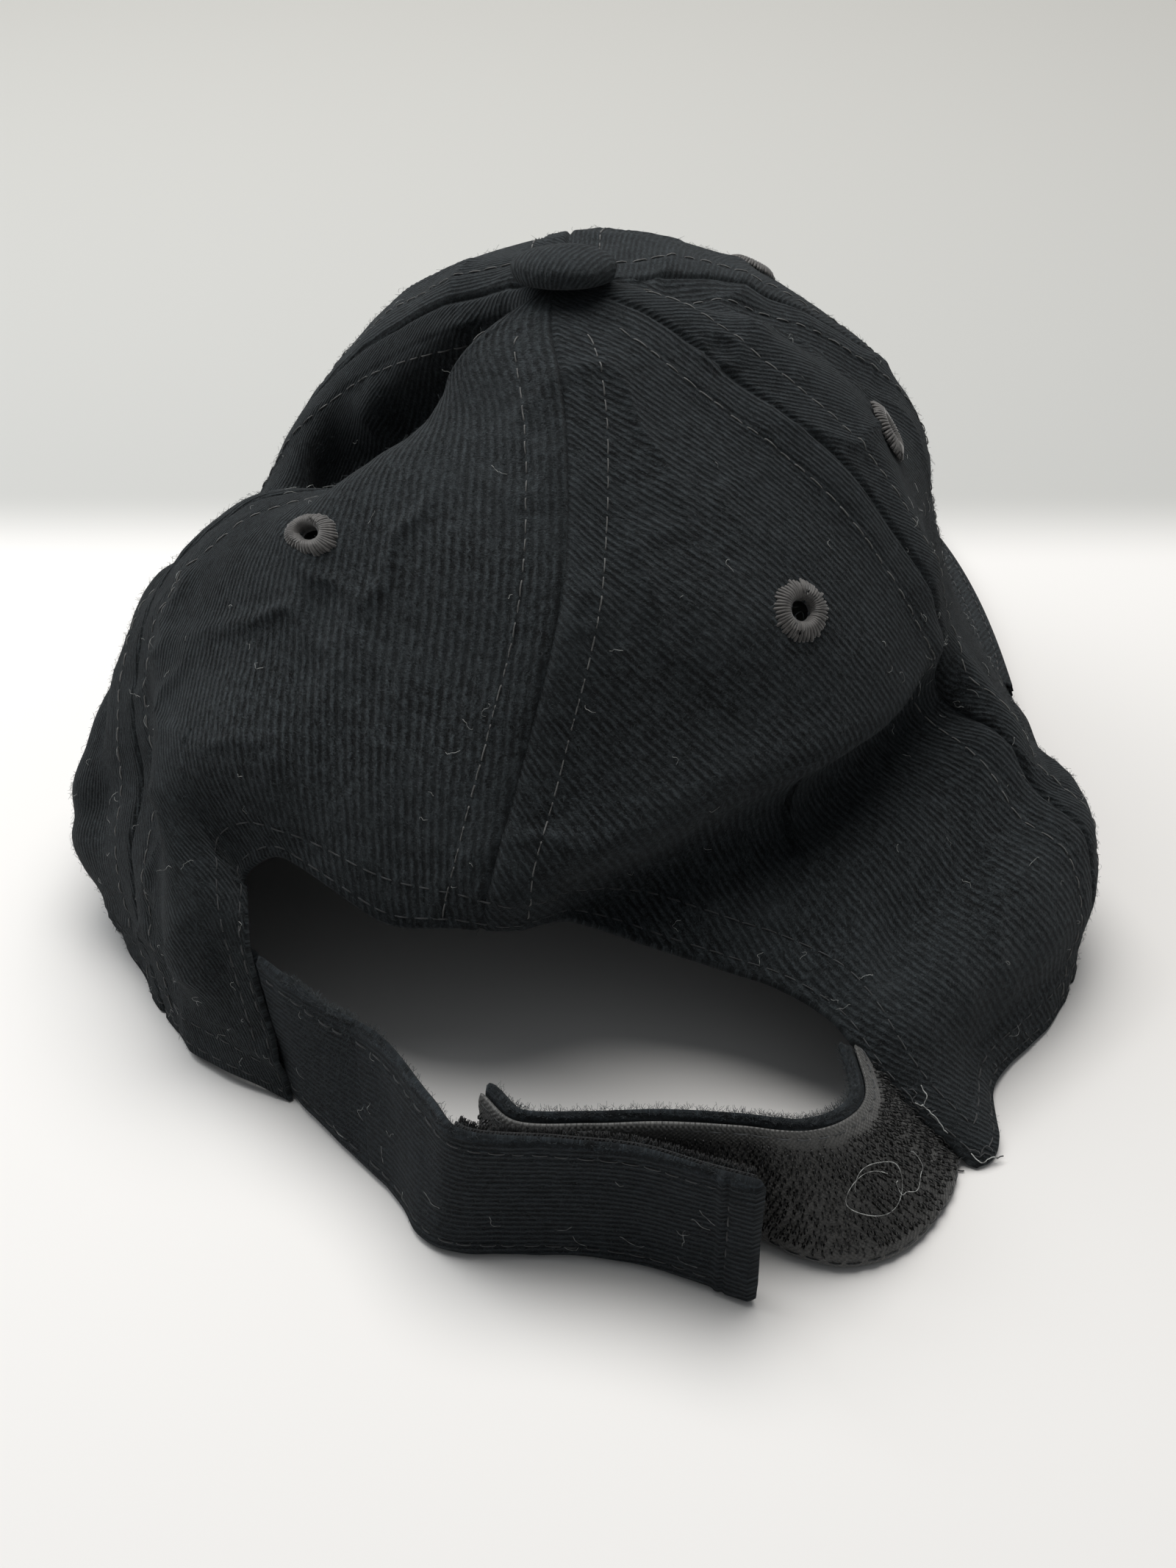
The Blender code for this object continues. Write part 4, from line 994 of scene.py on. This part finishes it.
def make_pile(finish, last):
    """Fine loops standing on the loop tape and along its edges."""
    count = 2600
    place = rng.uniform(LOOP_FOLD + 0.72, last - 0.12, count)
    across = np.where(rng.random(count) < 0.45, rng.uniform(0.90, 0.975, count), rng.uniform(0.03, 0.97, count))
    lean, spread = rng.uniform(-0.35, 0.35, (2, count))
    turn = np.linspace(0, 1, 6)
    arch = np.sin(math.pi * turn)
    p = place[:, None] + (turn[None] - 0.5) * spread[:, None] * 0.12
    a = across[:, None] + (turn[None] - 0.5) * lean[:, None] * 0.05 + 0.035 * arch[None] * (across[:, None] > 0.9)
    depth = LOOP_FABRIC + LOOP_TAPE - 0.1 + 0.55 * arch[None] * rng.uniform(0.5, 1.2, count)[:, None]
    tubes("loop_tape_pile", on_strap(LOOP, 1, p, a, depth), 0.045, finish, 3, slot="loop_tape", body="loop_flap")


def make_hook_strap(cloth_finish, tape_finish, hook_finish, thread):
    last = len(HOOK_LOW) - 1.0
    place = np.linspace(0.03, last, 220)
    piece, length = strap_piece("hook_strap_backing_cloth", HOOK, -1, place, HOOK_TAPE + 0.3, HOOK_FABRIC,
                                cloth_finish, slot="strap_twill", body=None,
                                replaces=["hook_strap_base", "hook_strap_end"])
    bend(piece, "hook_bend")
    tape = np.linspace(0.05, last - 0.03, 220)
    piece, length = strap_piece("hook_tape_cloth", HOOK, -1, tape, 0.15, HOOK_TAPE - 0.3, tape_finish,
                                tape_relief, margin=0.02, edge=0.4, slot="hook_tape", body=None,
                                replaces=["hook_tape_base", "hook_tape_end"])
    bend(piece, "hook_bend")
    rows = [strap_stitches(HOOK, -1, tape, share, 0.0) for share in (0.055, 0.945)]
    piece = tubes("hook_tape_stitches", np.concatenate(rows), 0.13, thread, 4, slot="strap_twill", body=None)
    bend(piece, "hook_bend")
    make_hooks(hook_finish, last)


def tape_relief(run, height):
    """Woven margins of the hook tape stand a little proud of its hooked middle."""
    near = np.minimum(height, STRAP_WIDTH - height)
    weave = 0.06 * np.sin(run * 2 * math.pi / 1.1) * np.sin(near * 2 * math.pi / 0.9)
    return (0.16 + weave) * (1 - smooth_step(near, 2.3, 2.9)) + 0.05 * np.sin(height * 2 * math.pi / 1.35)


def make_hooks(finish, last):
    """Rows of small stiff hooks on the hook tape, bent over in turns."""
    fine = np.linspace(0.08, last - 0.08, 600)
    run = run_along(HOOK, fine)
    rows = np.arange(3.0, STRAP_WIDTH - 2.6, 1.25)
    spots = []
    for number, height in enumerate(rows):
        along = np.arange(0.6 + 0.6 * (number % 2), run[-1], 1.2)
        along = along + rng.uniform(-0.16, 0.16, len(along))
        side = np.where(rng.random(len(along)) < 0.5, -1.0, 1.0)
        spots.append(np.column_stack([along, height + rng.uniform(-0.18, 0.18, len(along)), side,
                                      rng.uniform(0.75, 1.1, len(along))]))
    along, height, side, size = np.concatenate(spots).T
    turn = np.array([0.0, 0.35, 0.75, 1.0, 1.15, 1.1])
    out = np.array([-0.1, 0.5, 0.95, 1.05, 0.7, 0.35])
    sway = np.array([0.0, -0.1, 0.1, 0.62, 1.0, 0.85])
    lean = rng.uniform(-0.15, 0.15, len(along))
    p = np.interp(along[:, None] + lean[:, None] * turn[None], run, fine)
    a = (height[:, None] + side[:, None] * sway[None] * size[:, None]) / STRAP_WIDTH
    path = on_strap(HOOK, -1, p, 0.02 + 0.96 * a, 0.12 - out[None] * size[:, None])
    piece = tubes("hook_tape_hooks", path, 0.15, finish, 4, slot="hook_tape", body=None)
    bend(piece, "hook_bend")


def make_strap_roots(finish):
    """The ends of both straps, sewn in behind the tails."""
    for name, near, far, depth, thick in (("loop", -1.03, -1.30, 2.6, LOOP_FABRIC),
                                          ("hook", 1.03, 1.30, 1.9, HOOK_FABRIC)):
        u = np.linspace(min(near, far), max(near, far), 14)[:, None]
        s = np.linspace(PANEL_LENGTH - 25.0, PANEL_LENGTH - 0.6, 30)[None]
        base, out = crown_face(u, s), face_direction(crown_face, u, s)
        outer, inner = base - out * depth, base - out * (depth + thick)
        for face in (outer, inner):
            face[..., 2] = np.maximum(face[..., 2], 0.4)
        flat = np.stack(np.broadcast_arrays(u * 48, s), axis=-1)
        piece = thick_sheet(f"{name}_strap_root_cloth", outer.reshape(-1, 3), inner.reshape(-1, 3),
                            grid_faces(14, 30), flat.reshape(-1, 2), finish, slot="strap_twill",
                            replaces=[f"{name}_strap_root"])


# ------------------------------------------------------------- nap, lint and loose threads
def visible_spots(count, top=3.0, high=PANEL_LENGTH - 0.5):
    """Random places on the crown's outer face, evenly over the cloth."""
    found = np.empty((0, 2))
    while len(found) < count:
        u = rng.uniform(-6, 6, 4 * count)
        s = np.sqrt(rng.random(4 * count)) * (high - top) + top
        good = (hem_distance(u, s) > 0.3) & (rng.random(4 * count) < column_width(s) / PANEL_COLUMN * 0.97)
        found = np.concatenate([found, np.column_stack([u, s])[good]])
    return found[:count, 0], found[:count, 1]


def curls(place, out, length, wild, rise, steps):
    """Random curly paths that start at place and stay near the surface with normals out."""
    count = len(place)
    side = np.cross(out, rng.normal(size=(count, 3)))
    side /= np.linalg.norm(side, axis=1, keepdims=True)
    other = np.cross(out, side)
    heading = np.cumsum(rng.normal(0, wild, (count, steps)), axis=1)
    stride = (length / steps)[:, None]
    x, y = np.cumsum(np.cos(heading) * stride, axis=1), np.cumsum(np.sin(heading) * stride, axis=1)
    z = rise[:, None] * np.sin(np.linspace(0, math.pi, steps))[None]
    return place[:, None] + side[:, None] * x[..., None] + other[:, None] * y[..., None] + out[:, None] * z[..., None]


def make_nap(finish):
    """Short fibres brushed up from the twill."""
    count = 24000
    u, s = visible_spots(count)
    place, out = cloth(u, s), face_direction(crown_face, u, s)
    length = rng.uniform(0.6, 1.7, count)
    path = curls(place, out, length, 0.5, np.zeros(count), 4)
    lift = np.linspace(-0.05, 1, 4)[None] * (rng.uniform(0.15, 0.9, count) * length * 0.6)[:, None]
    tubes("crown_nap", path + out[:, None] * lift[..., None], 0.022, finish, 3, slot="crown_twill")


def make_lint(finish):
    """Pale stray fibres lying on the cap."""
    count = 420
    u, s = visible_spots(count, top=16)
    place, out = cloth(u, s, 0.12), face_direction(crown_face, u, s)
    path = curls(place, out, rng.uniform(0.8, 4.0, count), 0.5, rng.uniform(0.1, 0.6, count), 12)
    path[..., 2] = np.maximum(path[..., 2], 0.1)
    tubes("crown_lint", path, 0.03, finish, 3, slot="eyelet_thread")
    place = rng.uniform(0.4, 7.6, 26)
    spot, inward = strap_face(LOOP, 1, place, rng.uniform(0.1, 0.9, 26))
    flap = place > LOOP_FOLD + 0.4
    upper = (place > 0.6) & (place < 2.6)
    for name, chosen, body in (("loop_flap_lint", flap, "loop_flap"), ("loop_strap_lint", upper, "loop_strap")):
        count = int(chosen.sum())
        path = curls(spot[chosen] - inward[chosen] * 0.3, -inward[chosen], rng.uniform(1.5, 5, count), 0.4,
                     rng.uniform(0.1, 0.5, count), 10)
        path[..., 2] = np.maximum(path[..., 2], 0.1)
        tubes(name, path, 0.03, finish, 3, slot="eyelet_thread", body=body)


def make_hair(finish):
    """Long pale hairs caught in the hooks, in lazy loops."""
    t = np.linspace(0, 1, 70)
    paths = []
    for place, across, width, height, turns, begin in ((2.6, 0.52, 0.75, 0.2, 1.35, 0.3),
                                                       (1.6, 0.45, 0.35, 0.12, 0.8, 2.2)):
        angle = 2 * math.pi * turns * t + begin
        along = place + width * np.cos(angle) + 0.35 * t
        up = across + height * np.sin(angle) * (1 - 0.35 * t) + 0.015 * np.sin(23 * t)
        paths.append(on_strap(HOOK, -1, along, up, -1.15 - 0.2 * np.sin(9 * t)))
    piece = tubes("hook_tape_hairs", np.array(paths), 0.055, finish, 4, slot="eyelet_thread", body=None)
    bend(piece, "hook_bend")


def make_strap_nap(finish):
    """Fibres brushed up from the strap twill, mostly along its upper edges."""
    for name, shape, side, depth, first, last, joint in (
            ("loop_strap_upper", LOOP, 1, 0.0, 0.4, LOOP_MIDDLE - 0.05, "loop_root"),
            ("loop_strap_end", LOOP, 1, 0.0, LOOP_MIDDLE + 0.05, 7.95, "loop_fold"),
            ("hook_strap", HOOK, -1, HOOK_TAPE + 0.3, 0.1, 9.95, "hook_bend")):
        count = 2600
        place = rng.uniform(first, last, count)
        edge = rng.random(count) < (0.9 if side < 0 else 0.35)
        across = np.where(edge, 0.995, rng.uniform(0.05, 0.95, count))
        fabric = HOOK_FABRIC if side < 0 else LOOP_FABRIC
        under = depth + np.where(edge, rng.uniform(0.1, 0.9, count) * fabric, 0.0 if side > 0 else fabric)
        points, inward = strap_face(shape, side, place, across)
        out = np.where(edge[:, None], [0, 0, 1.0], -inward * (1 if side > 0 else -1))
        path = curls(points + inward * under[:, None], out, rng.uniform(0.4, 1.2, count), 0.5, np.zeros(count), 4)
        lift = np.linspace(-0.1, 1, 4)[None] * rng.uniform(0.2, 0.8, count)[:, None]
        piece = tubes(f"{name}_nap", path + out[:, None] * lift[..., None], 0.025, finish, 3,
                      slot="strap_twill", body=None)
        bend(piece, joint)


def make_frayed_threads(dark, pale):
    """Thread ends at the right tail, where the hook strap is sewn in."""
    count = 22
    s = rng.uniform(STRAP_TOP + 1, PANEL_LENGTH - 2, count)
    u = np.full(count, 1.005)
    place, out = cloth(u, s, -0.6), face_direction(crown_face, u, s)
    path = curls(place, out, rng.uniform(2.5, 7, count), 0.55, rng.uniform(-0.4, 0.9, count), 12)
    path[..., 2] = np.maximum(path[..., 2], 0.12)
    tubes("right_tail_threads", path, 0.12, dark, 4, slot="strap_twill")
    u, s = np.full(3, 1.02), np.array([150.0, 158, 162])
    place, out = cloth(u, s, 0.1), face_direction(crown_face, u, s)
    path = curls(place, out, np.array([5.0, 7, 6]), 0.35, np.array([1.0, 0.4, 0.3]), 14)
    path[..., 2] = np.maximum(path[..., 2], 0.12)
    tubes("tail_thread_ends", path, 0.09, pale, 4, slot="eyelet_thread")


def give_finish(node, finish):
    """A CAD node keeps its shape and gets a better material."""
    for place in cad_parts[node].material_slots:
        place.link = "OBJECT"
        place.material = finish


def main():
    make_camera()
    make_stage()
    crown_twill = twill("crown_twill", (0.019, 0.0225, 0.0245))
    strap_twill = twill("strap_twill", (0.0125, 0.0155, 0.018), pitch=1.0, angle=3)
    lining_cotton = woven("lining_cotton", (0.012, 0.014, 0.015))
    thread = plain("topstitch_thread", (0.075, 0.076, 0.074), 0.7, 0.5, Sheen_Weight=0.2)
    dark_thread = plain("hem_thread", (0.026, 0.028, 0.030), 0.75, 0.5, Sheen_Weight=0.2)
    eyelet_thread = plain("eyelet_thread", (0.060, 0.056, 0.053), 0.62, Sheen_Weight=0.35)
    nap = plain("nap", (0.045, 0.052, 0.056), 0.9)
    lint = plain("lint", (0.36, 0.37, 0.36), 0.8, 0.6)
    hook_cloth = woven("hook_tape", (0.06, 0.0595, 0.057), pitch=0.9, roughness=0.5)
    hooks = plain("hooks", (0.012, 0.012, 0.012), 0.28)
    pile = woven("loop_tape", (0.012, 0.012, 0.013), pitch=0.6)
    for number, panel in enumerate(PANELS):
        make_panel(panel, number, crown_twill)
        make_eyelet(panel, number, eyelet_thread)
    make_seam_stitches(thread, dark_thread)
    make_linings(lining_cotton)
    make_button(crown_twill)
    visor_cover(1, crown_twill, dark_thread)
    visor_cover(-1, crown_twill, dark_thread)
    make_loop_strap(strap_twill, pile, dark_thread)
    make_hook_strap(strap_twill, hook_cloth, hooks, dark_thread)
    make_strap_roots(strap_twill)
    make_nap(nap)
    make_strap_nap(nap)
    make_lint(lint)
    make_hair(lint)
    make_frayed_threads(dark_thread, lint)
    steel = plain("zinc_plated_steel", (0.42, 0.42, 0.42), 0.42, 0.15, 400, 0.02, Metallic=1.0)
    board = plain("visor_board_plastic", (0.72, 0.72, 0.69), 0.55, 0.08, 300, 0.05)
    give_finish("button_shell", steel)
    give_finish("button_washer", steel)
    give_finish("visor_board", board)


main()
